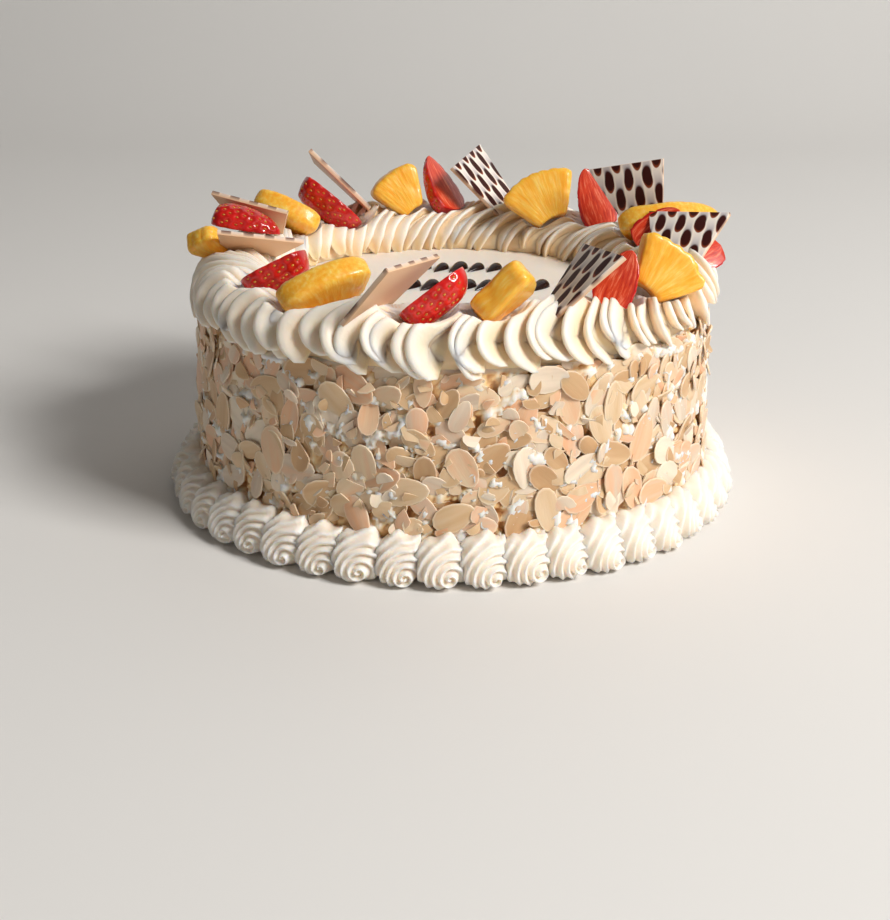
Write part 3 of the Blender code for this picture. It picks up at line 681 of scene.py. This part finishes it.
# How much of its scallops each piece kept when it was peeled
SCALLOPS_LEFT = (0.1, 0.15, 0.7, 0.1, 0.7, 0.2, 0.1, 0.3)
FIBRE_PITCH = 2.2 * MM
FIBRE_HEIGHT = 0.1 * MM
FIBRE_STREAK = 1.6 * MM
PINEAPPLE_LUMPS = 0.8 * MM
LUMP_SIZE = 8.0 * MM
FLESH_CLOUDS = 7.0 * MM
# Each piece takes its grain from another place in the noise, this many millimetres further on
SLICES_APART = 30


def placed(ring_angle, ring_radius, height, azimuth, elevation, roll):
    """Frame of a topping: +X is its face's direction, +Z its upward direction within the face."""
    angle = math.radians(ring_angle)
    place = Vector((ring_radius * math.cos(angle), ring_radius * math.sin(angle), height)) * MM
    turn = (
        Matrix.Rotation(math.radians(azimuth), 4, "Z")
        @ Matrix.Rotation(math.radians(-elevation), 4, "Y")
        @ Matrix.Rotation(math.radians(roll), 4, "X")
    )
    return Matrix.Translation(place) @ turn


def moved(points, matrix):
    """Points put where a topping's frame is."""
    flat = np.asarray(points).reshape(-1, 3)
    return flat @ np.array(matrix.to_3x3()).T + np.array(matrix.translation)


def taken(bm):
    """A bmesh's points and faces; the bmesh itself is freed."""
    bm.verts.index_update()
    points = np.array([vert.co[:] for vert in bm.verts])
    faces = [[vert.index for vert in face.verts] for face in bm.faces]
    bm.free()
    return points, faces


# Pineapple flesh: wet and see-through for some millimetres, so it glows golden yellow. Fibres
# fan out from the core and show as paler and deeper lines.
pineapple_flesh, tree = new_tree("pineapple_flesh_wet")
slice_place = add_node(tree, "Attribute", {"attribute_name": "slice"}, {})
fibres = add_node(tree, "TexNoise", {}, {
    "Vector": (slice_place, "Vector"), "Scale": 1 / FIBRE_STREAK, "Detail": 4.0, "Roughness": 0.6})
clouds = add_node(tree, "TexNoise", {}, {
    "Vector": (slice_place, "Vector"), "Scale": 1 / FLESH_CLOUDS, "Detail": 2.0})
ramp = add_node(tree, "ValToRGB", {}, {"Fac": (fibres, "Fac")})
set_stops(ramp, ((0.3, "#FAAF34"), (0.5, "#FCC149"), (0.72, "#FED778")))
depth = add_node(tree, "ValToRGB", {}, {"Fac": (clouds, "Fac")})
set_stops(depth, ((0.3, "#FFEAB4"), (0.6, "#FFFFFF")))
tint = add_node(tree, "Mix", {"data_type": "RGBA", "blend_type": "MULTIPLY"}, {
    0: 0.8, 6: (ramp, "Color"), 7: (depth, "Color")})
relief = add_node(tree, "Bump", {}, {"Height": (fibres, "Fac"), "Strength": 0.5, "Distance": 0.35 * MM})
shader = add_node(tree, "BsdfPrincipled", {}, {
    "Base Color": (tint, 2),
    "Roughness": 0.34,
    "IOR": 1.38,
    "Subsurface Weight": 0.55,
    "Subsurface Radius": (1.0, 0.55, 0.10),
    "Subsurface Scale": 4.0 * MM,
    "Coat Weight": 0.35,
    "Coat Roughness": 0.12,
    "Normal": (relief, "Normal"),
})
add_node(tree, "OutputMaterial", {}, {"Surface": (shader, "BSDF")})

# Each piece starts as a cube of points from -1 to 1, which is rounded and bent into its sector
slice_shape = bmesh.new()
bmesh.ops.create_cube(slice_shape, size=2.0)
bmesh.ops.subdivide_edges(slice_shape, edges=slice_shape.edges, cuts=SLICE_DIVISIONS - 1, use_grid_fill=True)
cube, cube_faces = taken(slice_shape)
for number, (*where, sector, outer_radius, radial, thickness) in enumerate(PINEAPPLES, 1):
    square = SLICE_SQUARE[number - 1]
    block = cube / (np.abs(cube) ** square).sum(axis=1)[:, None] ** (1 / square)
    middle = outer_radius * MM - radial * MM / 2
    angle = math.radians(sector) / 2 * block[:, 0]
    radius = middle + radial * MM / 2 * block[:, 1]
    arc = angle * outer_radius * MM
    rim_share = np.clip(block[:, 1], 0, 1) ** SCALLOP_RIM
    eyes = np.abs(np.sin(math.pi * arc / SCALLOP_PITCH + number)) - 0.6
    radius = radius + SCALLOP_HEIGHT * SCALLOPS_LEFT[number - 1] * eyes * rim_share
    fibre = np.sin(2 * math.pi * arc / FIBRE_PITCH + 2 * np.sin(radius / (6 * MM) + number))
    face_share = np.clip(np.abs(block[:, 2]) * 1.4 - 0.4, 0, 1) * np.clip(block[:, 1] + 0.6, 0, 1)
    x = thickness * MM / 2 * block[:, 2]
    x = x + np.sign(block[:, 2]) * FIBRE_HEIGHT * (fibre - 0.6) * face_share
    local = np.stack((x, radius * np.sin(angle), radius * np.cos(angle) - middle), axis=-1)
    local = local + PINEAPPLE_LUMPS * uneven(local + number, LUMP_SIZE, 3)[:, None] * block * 0.8
    slice_place = np.stack((arc, radius * 0.2, x + number * SLICES_APART * MM), axis=-1)
    piece = add_piece(
        f"pineapple_piece_{number}", moved(local, placed(*where)), cube_faces, pineapple_flesh,
        {"slice": slice_place})
    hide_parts(f"pineapple_{number}")

# Strawberries: ripe berries cut in half lengthwise and glazed. Some lie skin up, with yellow
# seeds in their pits, and some show the cut face with its pale streaks.

# Ring angle, ring radius, height, azimuth, elevation and roll of the cut face, then length, half
# width and how blunt the tip is (degrees and mm)
STRAWBERRIES = (
    (-145, 82, 101, 142, 57, -143, 27.0, 9.4, 5.0),
    (-95, 86, 102, 154, 48, 27, 28.0, 9.4, 5.0),
    (-45, 86, 100, -103, 26, -19, 23.5, 7.8, 1.9),
    (3, 102, 93, -70, 40, 112, 20.5, 7.3, 2.2),
    (14, 88, 101, -97, 29, -47, 23.0, 8.0, 2.0),
    (46, 90, 104, -84, 23, 16, 28.0, 8.4, 1.7),
    (93, 90, 106, -30, 40, -11, 29.0, 10.0, 1.6),
    (128, 86, 102, 32, 44, 148, 32.0, 10.0, 5.0),
    (171, 86, 102, -164, -81, -155, 29.0, 8.8, 2.2),
)
BERRY_SHOULDER = 0.28
BERRY_CALYX_TAPER = 0.30
BERRY_TIP_ROUNDNESS = 0.6
BERRY_CALYX_ROUND = 2.2 * MM
BERRY_ROWS = 64
BERRY_SKIN_COLUMNS = 56
BERRY_CUT_COLUMNS = 18
BERRY_CUT_BULGE = 0.35 * MM
# Steps of the streaks' noise from the middle of the cut to its edge, and along the cut
STREAKS_ACROSS = 7
STREAKS_ALONG = 3.0
BERRIES_APART = 40
SEED_ROW_PITCH = 2.9 * MM
SEED_PITCH = 3.4 * MM
PIT_DEPTH = 0.6 * MM
PIT_RADIUS = 1.1 * MM
SEED_LENGTH = 1.2 * MM
SEED_WIDTH = 0.7 * MM
SEED_THICKNESS = 0.7 * MM
SEED_SUNK = 0.75
SEED_STRAY = 0.6 * MM
# Seeds stop short of the cut's edge, in degrees, and of the tip, as a share of the length
SEED_LAST_TURN = 84
SEED_LAST_SHARE = 0.97


def berry_radius(share, half_width, bluntness):
    """Half width at a share of the way from the calyx end to the tip."""
    toward_calyx = np.clip((BERRY_SHOULDER - share) / BERRY_SHOULDER, 0, 1)
    toward_tip = np.clip((share - BERRY_SHOULDER) / (1 - BERRY_SHOULDER), 0, 1)
    shoulder = 1 - BERRY_CALYX_TAPER * toward_calyx ** 2
    return half_width * shoulder * (1 - toward_tip ** bluntness) ** BERRY_TIP_ROUNDNESS


# Strawberry: deep red waxy skin over wet flesh that lets light in, with a thin clear glaze. The
# cut face is paler and streaked from its core, with a dark line at the skin.
strawberry_flesh, tree = new_tree("strawberry_glazed")
cut = add_node(tree, "Attribute", {"attribute_name": "cut"}, {})
inner = add_node(tree, "Attribute", {"attribute_name": "inner"}, {})
berry_place = add_node(tree, "Attribute", {"attribute_name": "berry"}, {})
pit = add_node(tree, "Attribute", {"attribute_name": "pit"}, {})
blush = add_node(tree, "TexNoise", {}, {
    "Vector": (berry_place, "Vector"), "Scale": 1 / (9 * MM), "Detail": 2.0})
skin = add_node(tree, "ValToRGB", {}, {"Fac": (blush, "Fac")})
set_stops(skin, ((0.3, "#A80C12"), (0.55, "#CE1518"), (0.8, "#E0231C")))
pitted = add_node(tree, "Mix", {"data_type": "RGBA"}, {
    0: (pit, "Fac"), 6: (skin, "Color"), 7: linear("#D8301A")})
streaks = add_node(tree, "TexNoise", {}, {
    "Vector": (inner, "Vector"), "Scale": 1.0, "Detail": 4.0, "Roughness": 0.6})
flesh = add_node(tree, "ValToRGB", {}, {"Fac": (streaks, "Fac")})
set_stops(flesh, ((0.35, "#B8230F"), (0.52, "#D34020"), (0.72, "#EE8F6C")))
# A band of deeper red lies just under the skin
under_skin = add_node(tree, "ValToRGB", {}, {"Fac": (cut, "Fac")})
set_stops(under_skin, ((0.45, "#9C1410"), (0.9, "#FFFFFF")))
banded = add_node(tree, "Mix", {"data_type": "RGBA", "blend_type": "MULTIPLY"}, {
    0: 1.0, 6: (flesh, "Color"), 7: (under_skin, "Color")})
colour = add_node(tree, "Mix", {"data_type": "RGBA"}, {
    0: (cut, "Fac"), 6: (pitted, 2), 7: (banded, 2)})
pores = add_node(tree, "TexNoise", {}, {
    "Vector": (berry_place, "Vector"), "Scale": 1 / (1.2 * MM), "Detail": 2.0})
relief = add_node(tree, "Bump", {}, {"Height": (pores, "Fac"), "Strength": 0.3, "Distance": 0.15 * MM})
shader = add_node(tree, "BsdfPrincipled", {}, {
    "Base Color": (colour, 2),
    "Roughness": 0.28,
    "IOR": 1.4,
    "Subsurface Weight": 0.25,
    "Subsurface Radius": (1.0, 0.25, 0.12),
    "Subsurface Scale": 2.0 * MM,
    "Coat Weight": 0.7,
    "Coat Roughness": 0.06,
    "Normal": (relief, "Normal"),
})
add_node(tree, "OutputMaterial", {}, {"Surface": (shader, "BSDF")})

# Strawberry seed: dry, straw yellow, with a dull shine
strawberry_seed, tree = new_tree("strawberry_seed")
place = add_node(tree, "TexCoord", {}, {})
spots = add_node(tree, "TexNoise", {}, {"Vector": (place, "Object"), "Scale": 1 / (2 * MM)})
ramp = add_node(tree, "ValToRGB", {}, {"Fac": (spots, "Fac")})
set_stops(ramp, ((0.35, "#B4641E"), (0.7, "#DDA444")))
shader = add_node(tree, "BsdfPrincipled", {}, {"Base Color": (ramp, "Color"), "Roughness": 0.4, "IOR": 1.45})
add_node(tree, "OutputMaterial", {}, {"Surface": (shader, "BSDF")})

seed_shape = bmesh.new()
bmesh.ops.create_icosphere(seed_shape, subdivisions=2, radius=1.0)
seed_points, seed_faces = taken(seed_shape)

all_seeds, all_seed_faces = [], []
for number, (*where, length, half_width, bluntness) in enumerate(STRAWBERRIES, 1):
    length, half_width = length * MM, half_width * MM
    share = (1 - np.cos(math.pi * np.linspace(0.02, 0.992, BERRY_ROWS))) / 2
    share = 0.55 * share + 0.45 * np.linspace(0.0, 0.995, BERRY_ROWS)
    radius = berry_radius(share, half_width, bluntness)
    # Round off the calyx end over its first millimetres
    radius = radius * np.clip(share * length / BERRY_CALYX_ROUND, 0.02, 1) ** 0.4
    skin_turn = np.linspace(-90, 90, BERRY_SKIN_COLUMNS)
    # Seeds sit on a staggered net over the skin
    seeds = []
    for row in range(1, int(length / SEED_ROW_PITCH)):
        seed_share = row * SEED_ROW_PITCH / length
        seed_radius = float(berry_radius(np.array(seed_share), half_width, bluntness))
        across = max(1, round(math.pi * seed_radius / SEED_PITCH))
        for k in range(across + row % 2):
            stray = SEED_STRAY * math.sin(5.3 * k + 2.9 * row + number)
            seed_turn = -90 + 180 * (k + 0.5 - 0.5 * (row % 2)) / across
            seeds.append((seed_share + stray / length, seed_turn + math.degrees(0.8 * stray / half_width)))
    cut_share = np.linspace(1, -1, BERRY_CUT_COLUMNS + 2)[1:-1]
    skin = np.stack((
        -radius[:, None] * np.cos(np.radians(skin_turn))[None, :],
        radius[:, None] * np.sin(np.radians(skin_turn))[None, :],
        (share[:, None] - 0.5) * length + 0 * skin_turn[None, :]), axis=-1)
    face = np.stack((
        BERRY_CUT_BULGE * (1 - cut_share[None, :] ** 2) * np.ones((BERRY_ROWS, 1)),
        radius[:, None] * cut_share[None, :],
        (share[:, None] - 0.5) * length + 0 * cut_share[None, :]), axis=-1)
    local = np.concatenate((skin, face), axis=1)
    pits = np.zeros(local.shape[:2])
    for seed_share, seed_turn in seeds:
        seed_radius = float(berry_radius(np.array(seed_share), half_width, bluntness))
        turn = math.radians(seed_turn)
        centre = np.array((
            -seed_radius * math.cos(turn), seed_radius * math.sin(turn), (seed_share - 0.5) * length))
        gap = np.linalg.norm(local - centre, axis=-1)
        pits = np.maximum(pits, np.exp(-(gap / PIT_RADIUS) ** 2))
        if abs(seed_turn) > SEED_LAST_TURN or seed_share > SEED_LAST_SHARE:
            continue
        inward = centre - (0, 0, centre[2])
        outward = inward / np.linalg.norm(inward)
        upward = np.array((0.0, 0.0, 1.0))
        scaled = seed_points * (SEED_THICKNESS / 2, SEED_WIDTH / 2, SEED_LENGTH / 2)
        basis = np.stack((outward, np.cross(upward, outward), upward), axis=1)
        seed = scaled @ basis.T + centre - outward * PIT_DEPTH * SEED_SUNK
        all_seed_faces.extend(shifted(seed_faces, len(seed_points) * len(all_seeds)))
        all_seeds.append(moved(seed, placed(*where)))
    pits[:, BERRY_SKIN_COLUMNS:] = 0
    outward = local * (1, 1, 0)
    outward = outward / np.maximum(np.linalg.norm(outward, axis=-1, keepdims=True), 1e-9)
    local = local - outward * (pits * PIT_DEPTH)[:, :, None]
    cut_mark = np.zeros(local.shape[:2])
    cut_mark[:, BERRY_SKIN_COLUMNS:] = np.clip((1 - np.abs(cut_share)) * 5, 0, 1)
    inner_mark = np.zeros(local.shape)
    inner_mark[:, BERRY_SKIN_COLUMNS:, 0] = cut_share * STREAKS_ACROSS
    inner_mark[:, BERRY_SKIN_COLUMNS:, 1] = share[:, None] * STREAKS_ALONG
    inner_mark[:, :, 2] = number
    piece = add_piece(
        f"strawberry_half_{number}", moved(local, placed(*where)), tube_faces(BERRY_ROWS, local.shape[1]),
        strawberry_flesh,
        {"cut": cut_mark, "inner": inner_mark, "pit": pits, "berry": local + number * BERRIES_APART * MM})
    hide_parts(f"strawberry_{number}")
add_piece("strawberry_seeds", np.concatenate(all_seeds), all_seed_faces, strawberry_seed, {})

# Shards: white chocolate spread on a printed transfer sheet, set and cut with a knife. One face
# carries soft dark ovals with grey tails and the other is plain. Each shard stands in the rope.

# Ring angle, ring radius, height of the foot's middle, azimuth, elevation and roll of the
# patterned face, then half width at the top, inset of each foot corner and height (degrees, mm)
SHARDS = (
    (-112, 89, 90, 147, 42, 5, 17.3, 5.8, 3.6, 31.9),
    (-68, 88, 91, -165, 45, 7, 16.6, 10.7, 11.8, 32.0),
    (-2, 89, 89, -119, 53, 7, 17.2, 8.4, 9.2, 30.7),
    (25, 93, 92, -111, 3, 12, 16.5, 16.1, 5.1, 32.8),
    (73, 92, 92, -29, 39, 11, 17.1, 7.3, 6.7, 33.6),
    (115, 89, 95, 21, 43, -29, 14.0, 4.0, 4.0, 36.0),
    (153, 91, 90, 63, 45, 15, 17.2, 9.5, 10.0, 31.2),
    (171, 88, 88, 91, 57, 18, 17.5, 11.1, 8.8, 30.7),
)
SHARD_THICKNESS = 2.0 * MM
SHARD_BEVEL = 0.3 * MM
SHARD_CRISP = 40
# The printed pattern, in millimetres over the sheet
OVAL_PITCH = 8.6
OVAL_ROW = 16.0
OVAL_HALF = (2.1, 4.4)
OVAL_WAVER = 2.4
WAVER_PER_MM = 0.12
MOTTLE_PER_MM = 0.15
TAIL_HALF = (0.9, 2.5)
TAIL_RISE = 7.0
OVAL_DROP = 7.0
OVAL_SHIFT = 3.1
# The print starts this far from the sheet's middle plane and is full this much further on
PRINT_START = 0.4 * MM
PRINT_FADE = 0.6 * MM

IVORY = "#FAF3E8"
IVORY_WARM = "#F6E8D6"
# Painted shade on the plain back of each shard
BACK_PAINTED_SHADE = "#E6C09C"
OVAL_DARK = "#3A1411"
OVAL_RIM = "#8A4023"
TAIL_STOPS = ((0.0, "#DAD5D6"), (0.6, "#A5A1AD"), (1.0, "#66525A"))

# White chocolate: ivory, waxy, with a low shine. The printed cocoa butter is nearly black in its
# ovals, brown where it thins at their lower rim and grey where it trails upward.
white_chocolate, tree = new_tree("white_chocolate_printed")
sheet = add_node(tree, "Attribute", {"attribute_name": "sheet"}, {})
printed = add_node(tree, "Attribute", {"attribute_name": "printed"}, {})
split = add_node(tree, "SeparateXYZ", {}, {"Vector": (sheet, "Vector")})
waver = add_node(tree, "TexNoise", {}, {"Vector": (sheet, "Vector"), "Scale": WAVER_PER_MM, "Detail": 1.0})
wavy = add_node(tree, "Math", {"operation": "MULTIPLY_ADD"}, {
    0: (waver, "Fac"), 1: OVAL_WAVER, 2: (split, "X")})
mottle = add_node(tree, "TexNoise", {}, {"Vector": (sheet, "Vector"), "Scale": MOTTLE_PER_MM, "Detail": 3.0})
ivory = add_node(tree, "Mix", {"data_type": "RGBA"}, {
    0: (mottle, "Fac"), 6: linear(IVORY), 7: linear(IVORY_WARM)})
# The bare back is painted a little browner than the face: painted shade, as these backs lie in shade
back = add_node(tree, "Mix", {"data_type": "RGBA"}, {
    0: (printed, "Fac"), 6: linear(BACK_PAINTED_SHADE), 7: (ivory, 2)})
colour = (back, 2)
for stagger in (0.0, 0.5):
    # Places across and along one oval's cell, from its middle
    within = []
    for axis, pitch in (((wavy, 0), OVAL_PITCH), ((split, "Y"), OVAL_ROW)):
        cell = add_node(tree, "Math", {"operation": "MULTIPLY_ADD"}, {
            0: axis, 1: 1 / pitch, 2: stagger + 0.5})
        part = add_node(tree, "Math", {"operation": "FRACT"}, {0: (cell, 0)})
        within.append(add_node(tree, "Math", {"operation": "MULTIPLY_ADD"}, {
            0: (part, 0), 1: pitch, 2: -pitch / 2}))
    u, v = within
    # The tail rises from the oval's top, narrow and soft, and fades out below the next oval
    rise = add_node(tree, "Math", {"operation": "MULTIPLY_ADD"}, {
        0: (split, "Y"), 1: 1 / OVAL_ROW, 2: stagger + 0.5 - TAIL_RISE / OVAL_ROW})
    rise = add_node(tree, "Math", {"operation": "FRACT"}, {0: (rise, 0)})
    fade = add_node(tree, "MapRange", {}, {
        "Value": (rise, 0), "From Min": 0.2, "From Max": 0.95, "To Min": 1.0, "To Max": 0.0})
    beside = add_node(tree, "Math", {"operation": "ABSOLUTE"}, {0: (u, 0)})
    slim = add_node(tree, "MapRange", {"interpolation_type": "SMOOTHSTEP"}, {
        "Value": (beside, 0), "From Min": TAIL_HALF[0], "From Max": TAIL_HALF[1],
        "To Min": 1.0, "To Max": 0.0})
    tail = add_node(tree, "Math", {"operation": "MULTIPLY"}, {0: (fade, "Result"), 1: (slim, "Result")})
    tail = add_node(tree, "Math", {"operation": "MULTIPLY"}, {0: (tail, 0), 1: (printed, "Fac")})
    tail_ink = add_node(tree, "ValToRGB", {}, {"Fac": (fade, "Result")})
    set_stops(tail_ink, TAIL_STOPS)
    layer = add_node(tree, "Mix", {"data_type": "RGBA"}, {0: (tail, 0), 6: colour, 7: (tail_ink, "Color")})
    colour = (layer, 2)
    # Each oval has a brown rim, and a darker middle a little above it
    for lift, soft, ink in ((0.0, 0.14, OVAL_RIM), (1.0, 0.3, OVAL_DARK)):
        du = add_node(tree, "Math", {"operation": "DIVIDE"}, {0: (u, 0), 1: OVAL_HALF[0]})
        dv = add_node(tree, "Math", {"operation": "SUBTRACT"}, {0: (v, 0), 1: lift})
        dv = add_node(tree, "Math", {"operation": "DIVIDE"}, {0: (dv, 0), 1: OVAL_HALF[1]})
        du = add_node(tree, "Math", {"operation": "MULTIPLY"}, {0: (du, 0), 1: (du, 0)})
        square = add_node(tree, "Math", {"operation": "MULTIPLY"}, {0: (dv, 0), 1: (dv, 0)})
        far = add_node(tree, "Math", {"operation": "ADD"}, {0: (du, 0), 1: (square, 0)})
        mask = add_node(tree, "MapRange", {"interpolation_type": "SMOOTHSTEP"}, {
            "Value": (far, 0), "From Min": 1.0 + soft, "From Max": 1.0 - soft, "To Min": 0.0, "To Max": 1.0})
        mask = add_node(tree, "Math", {"operation": "MULTIPLY"}, {0: (mask, "Result"), 1: (printed, "Fac")})
        layer = add_node(tree, "Mix", {"data_type": "RGBA"}, {0: (mask, 0), 6: colour, 7: linear(ink)})
        colour = (layer, 2)
relief = add_node(tree, "Bump", {}, {"Height": (mottle, "Fac"), "Strength": 0.15, "Distance": 0.2 * MM})
shader = add_node(tree, "BsdfPrincipled", {}, {
    "Base Color": colour,
    "Roughness": 0.42,
    "Specular IOR Level": 0.15,
    "IOR": 1.46,
    "Subsurface Weight": 0.15,
    "Subsurface Radius": (1.0, 0.6, 0.4),
    "Subsurface Scale": 1.0 * MM,
    "Normal": (relief, "Normal"),
})
add_node(tree, "OutputMaterial", {}, {"Surface": (shader, "BSDF")})

for number, (*where, half_top, minus, plus, height) in enumerate(SHARDS, 1):
    foot_minus, foot_plus = -half_top + minus, half_top - plus
    middle = (foot_minus + foot_plus) / 2
    outline = np.array((
        (foot_minus - middle, 0), (foot_plus - middle, 0),
        (half_top - middle, height), (-half_top - middle, height))) * MM
    bm = bmesh.new()
    front = [bm.verts.new((SHARD_THICKNESS / 2, y, z)) for y, z in outline]
    back = [bm.verts.new((-SHARD_THICKNESS / 2, y, z)) for y, z in outline]
    bm.faces.new(front)
    bm.faces.new(list(reversed(back)))
    for i in range(4):
        k = (i + 1) % 4
        bm.faces.new((back[i], back[k], front[k], front[i]))
    bmesh.ops.bevel(
        bm, geom=bm.edges, offset=SHARD_BEVEL, offset_type="OFFSET", segments=2, profile=0.6,
        affect="EDGES")
    local, faces = taken(bm)
    sheet_place = np.stack((
        local[:, 1] / MM + number * OVAL_SHIFT,
        local[:, 2] / MM - height + OVAL_DROP,
        np.full(len(local), float(number))), -1)
    piece = add_piece(
        f"white_chocolate_shard_{number}", moved(local, placed(*where)), faces, white_chocolate,
        {"sheet": sheet_place, "printed": np.clip((local[:, 0] - PRINT_START) / PRINT_FADE, 0, 1)})
    piece.data.set_sharp_from_angle(angle=math.radians(SHARD_CRISP))
    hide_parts(f"chocolate_shard_{number}")

# Pressing: the fruit is laid on while the cream is soft, so the rope gives way under each piece
# and slopes up again round it.

PRESS_GAP = 0.4 * MM
PRESS_SLOPE = 0.7
PRESS_REACH = 7.0 * MM
PRESS_STEP = 1.6 * MM
PRESS_AT_ONCE = 2000

rope_places = np.array([vert.co[:] for vert in rope.data.vertices])
pressing = [item for item in bpy.data.objects if item.name.startswith(("pineapple_piece", "strawberry_half"))]
for piece in pressing:
    low, high = np.array(piece.bound_box).min(axis=0), np.array(piece.bound_box).max(axis=0)
    below = []
    for x in np.arange(low[0], high[0], PRESS_STEP):
        for y in np.arange(low[1], high[1], PRESS_STEP):
            hit, place, _, _ = piece.ray_cast(Vector((x, y, low[2] - 0.01)), Vector((0, 0, 1)))
            if hit:
                below.append(place[:])
    below = np.array(below)
    near = np.all(rope_places[:, :2] > low[:2] - PRESS_REACH, axis=1)
    near &= np.all(rope_places[:, :2] < high[:2] + PRESS_REACH, axis=1)
    near &= rope_places[:, 2] > low[2] - PRESS_GAP
    picked = np.flatnonzero(near)
    for start in range(0, len(picked), PRESS_AT_ONCE):
        some = picked[start:start + PRESS_AT_ONCE]
        gaps = np.linalg.norm(rope_places[some][:, None, :2] - below[None, :, :2], axis=2)
        ceiling = (below[None, :, 2] + PRESS_SLOPE * np.maximum(gaps - PRESS_STEP, 0)).min(axis=1) - PRESS_GAP
        rope_places[some, 2] = np.minimum(rope_places[some, 2], ceiling)
rope.data.vertices.foreach_set("co", rope_places.ravel())
rope.data.update()

# The floor and the light: a pale matt floor that turns up into a wall behind, a large soft lamp
# high on the right in front, and weaker ones in front and behind.

FLOOR_SIZE = 5.0
BACKDROP_DISTANCE = 1.3
BACKDROP_ROUND = 0.5
BACKDROP_HEIGHT = 1.8
BACKDROP_STEPS = 16
FLOOR_COLOUR = "#E4E2DF"
FLOOR_CLOUD = "#E8E6E3"
# Place, watts, size and colour of each light
LIGHTS = (
    ((1.30, -0.88, 1.30), 44.0, 0.7, "#FFFDFA"),
    ((-0.5, -1.9, 1.0), 1.6, 1.4, "#FFFCF8"),
    ((0.6, 0.9, 1.6), 3.2, 1.4, "#FFFFFF"),
)
# The point that the lights face
LIT_POINT = (0, 0, 0.06)
SKY_COLOUR = "#D6D2CC"
SKY_STRENGTH = 0.11

# Matt paint: pale, without shine and faintly clouded
matt_floor, tree = new_tree("matt_floor")
place = add_node(tree, "TexCoord", {}, {})
cloud = add_node(tree, "TexNoise", {}, {"Vector": (place, "Object"), "Scale": 1.5, "Detail": 2.0})
tone = add_node(tree, "Mix", {"data_type": "RGBA"}, {
    0: (cloud, "Fac"), 6: linear(FLOOR_COLOUR), 7: linear(FLOOR_CLOUD)})
shader = add_node(tree, "BsdfPrincipled", {}, {"Base Color": (tone, 2), "Roughness": 0.7, "IOR": 1.45})
add_node(tree, "OutputMaterial", {}, {"Surface": (shader, "BSDF")})

# The floor runs back, turns up in a round sweep and ends as a wall
sweep = [(-FLOOR_SIZE / 2, 0.0), (BACKDROP_DISTANCE - BACKDROP_ROUND, 0.0)]
for i in range(1, BACKDROP_STEPS + 1):
    bend = math.pi / 2 * i / BACKDROP_STEPS
    sweep.append((
        BACKDROP_DISTANCE - BACKDROP_ROUND + BACKDROP_ROUND * math.sin(bend),
        BACKDROP_ROUND - BACKDROP_ROUND * math.cos(bend)))
sweep.append((BACKDROP_DISTANCE, BACKDROP_HEIGHT))
floor_points = [(x, y, z) for y, z in sweep for x in (-FLOOR_SIZE / 2, FLOOR_SIZE / 2)]
floor_mesh = bpy.data.meshes.new("floor")
floor_mesh.from_pydata(floor_points, [], grid_quads(len(sweep), 2, wrap_columns=False))
floor_mesh.shade_smooth()
floor_mesh.materials.append(matt_floor)
floor = bpy.data.objects.new("floor", floor_mesh)
bpy.context.scene.collection.objects.link(floor)

for number, (place, watts, size, colour) in enumerate(LIGHTS, 1):
    data = bpy.data.lights.new(f"soft_light_{number}", "AREA")
    data.energy = watts
    data.size = size
    data.color = linear(colour)[:3]
    light = bpy.data.objects.new(f"soft_light_{number}", data)
    light.location = place
    aim = Vector(LIT_POINT) - Vector(place)
    light.rotation_euler = aim.to_track_quat("-Z", "Y").to_euler()
    bpy.context.scene.collection.objects.link(light)

world = bpy.data.worlds.new("soft_room")
world.use_nodes = True
world.node_tree.nodes["Background"].inputs["Color"].default_value = linear(SKY_COLOUR)
world.node_tree.nodes["Background"].inputs["Strength"].default_value = SKY_STRENGTH
bpy.context.scene.world = world
bpy.context.scene.view_settings.view_transform = "Standard"

# The camera: in front and a little above the cake, turned by these angles in degrees

CAMERA_PLACE = (0.0, -0.5957, 0.2394)
CAMERA_YAW = 0.274
CAMERA_PITCH = 21.476
CAMERA_ROLL = 0.175
CAMERA_LENS = 58.77

camera_data = bpy.data.cameras.new("camera")
camera_data.lens = CAMERA_LENS
camera_data.sensor_width = 36.0
camera = bpy.data.objects.new("camera", camera_data)
camera.matrix_world = (
    Matrix.Translation(CAMERA_PLACE)
    @ Matrix.Rotation(math.radians(CAMERA_YAW), 4, "Z")
    @ Matrix.Rotation(math.radians(90 - CAMERA_PITCH), 4, "X")
    @ Matrix.Rotation(math.radians(CAMERA_ROLL), 4, "Z")
)
bpy.context.scene.collection.objects.link(camera)
bpy.context.scene.camera = camera
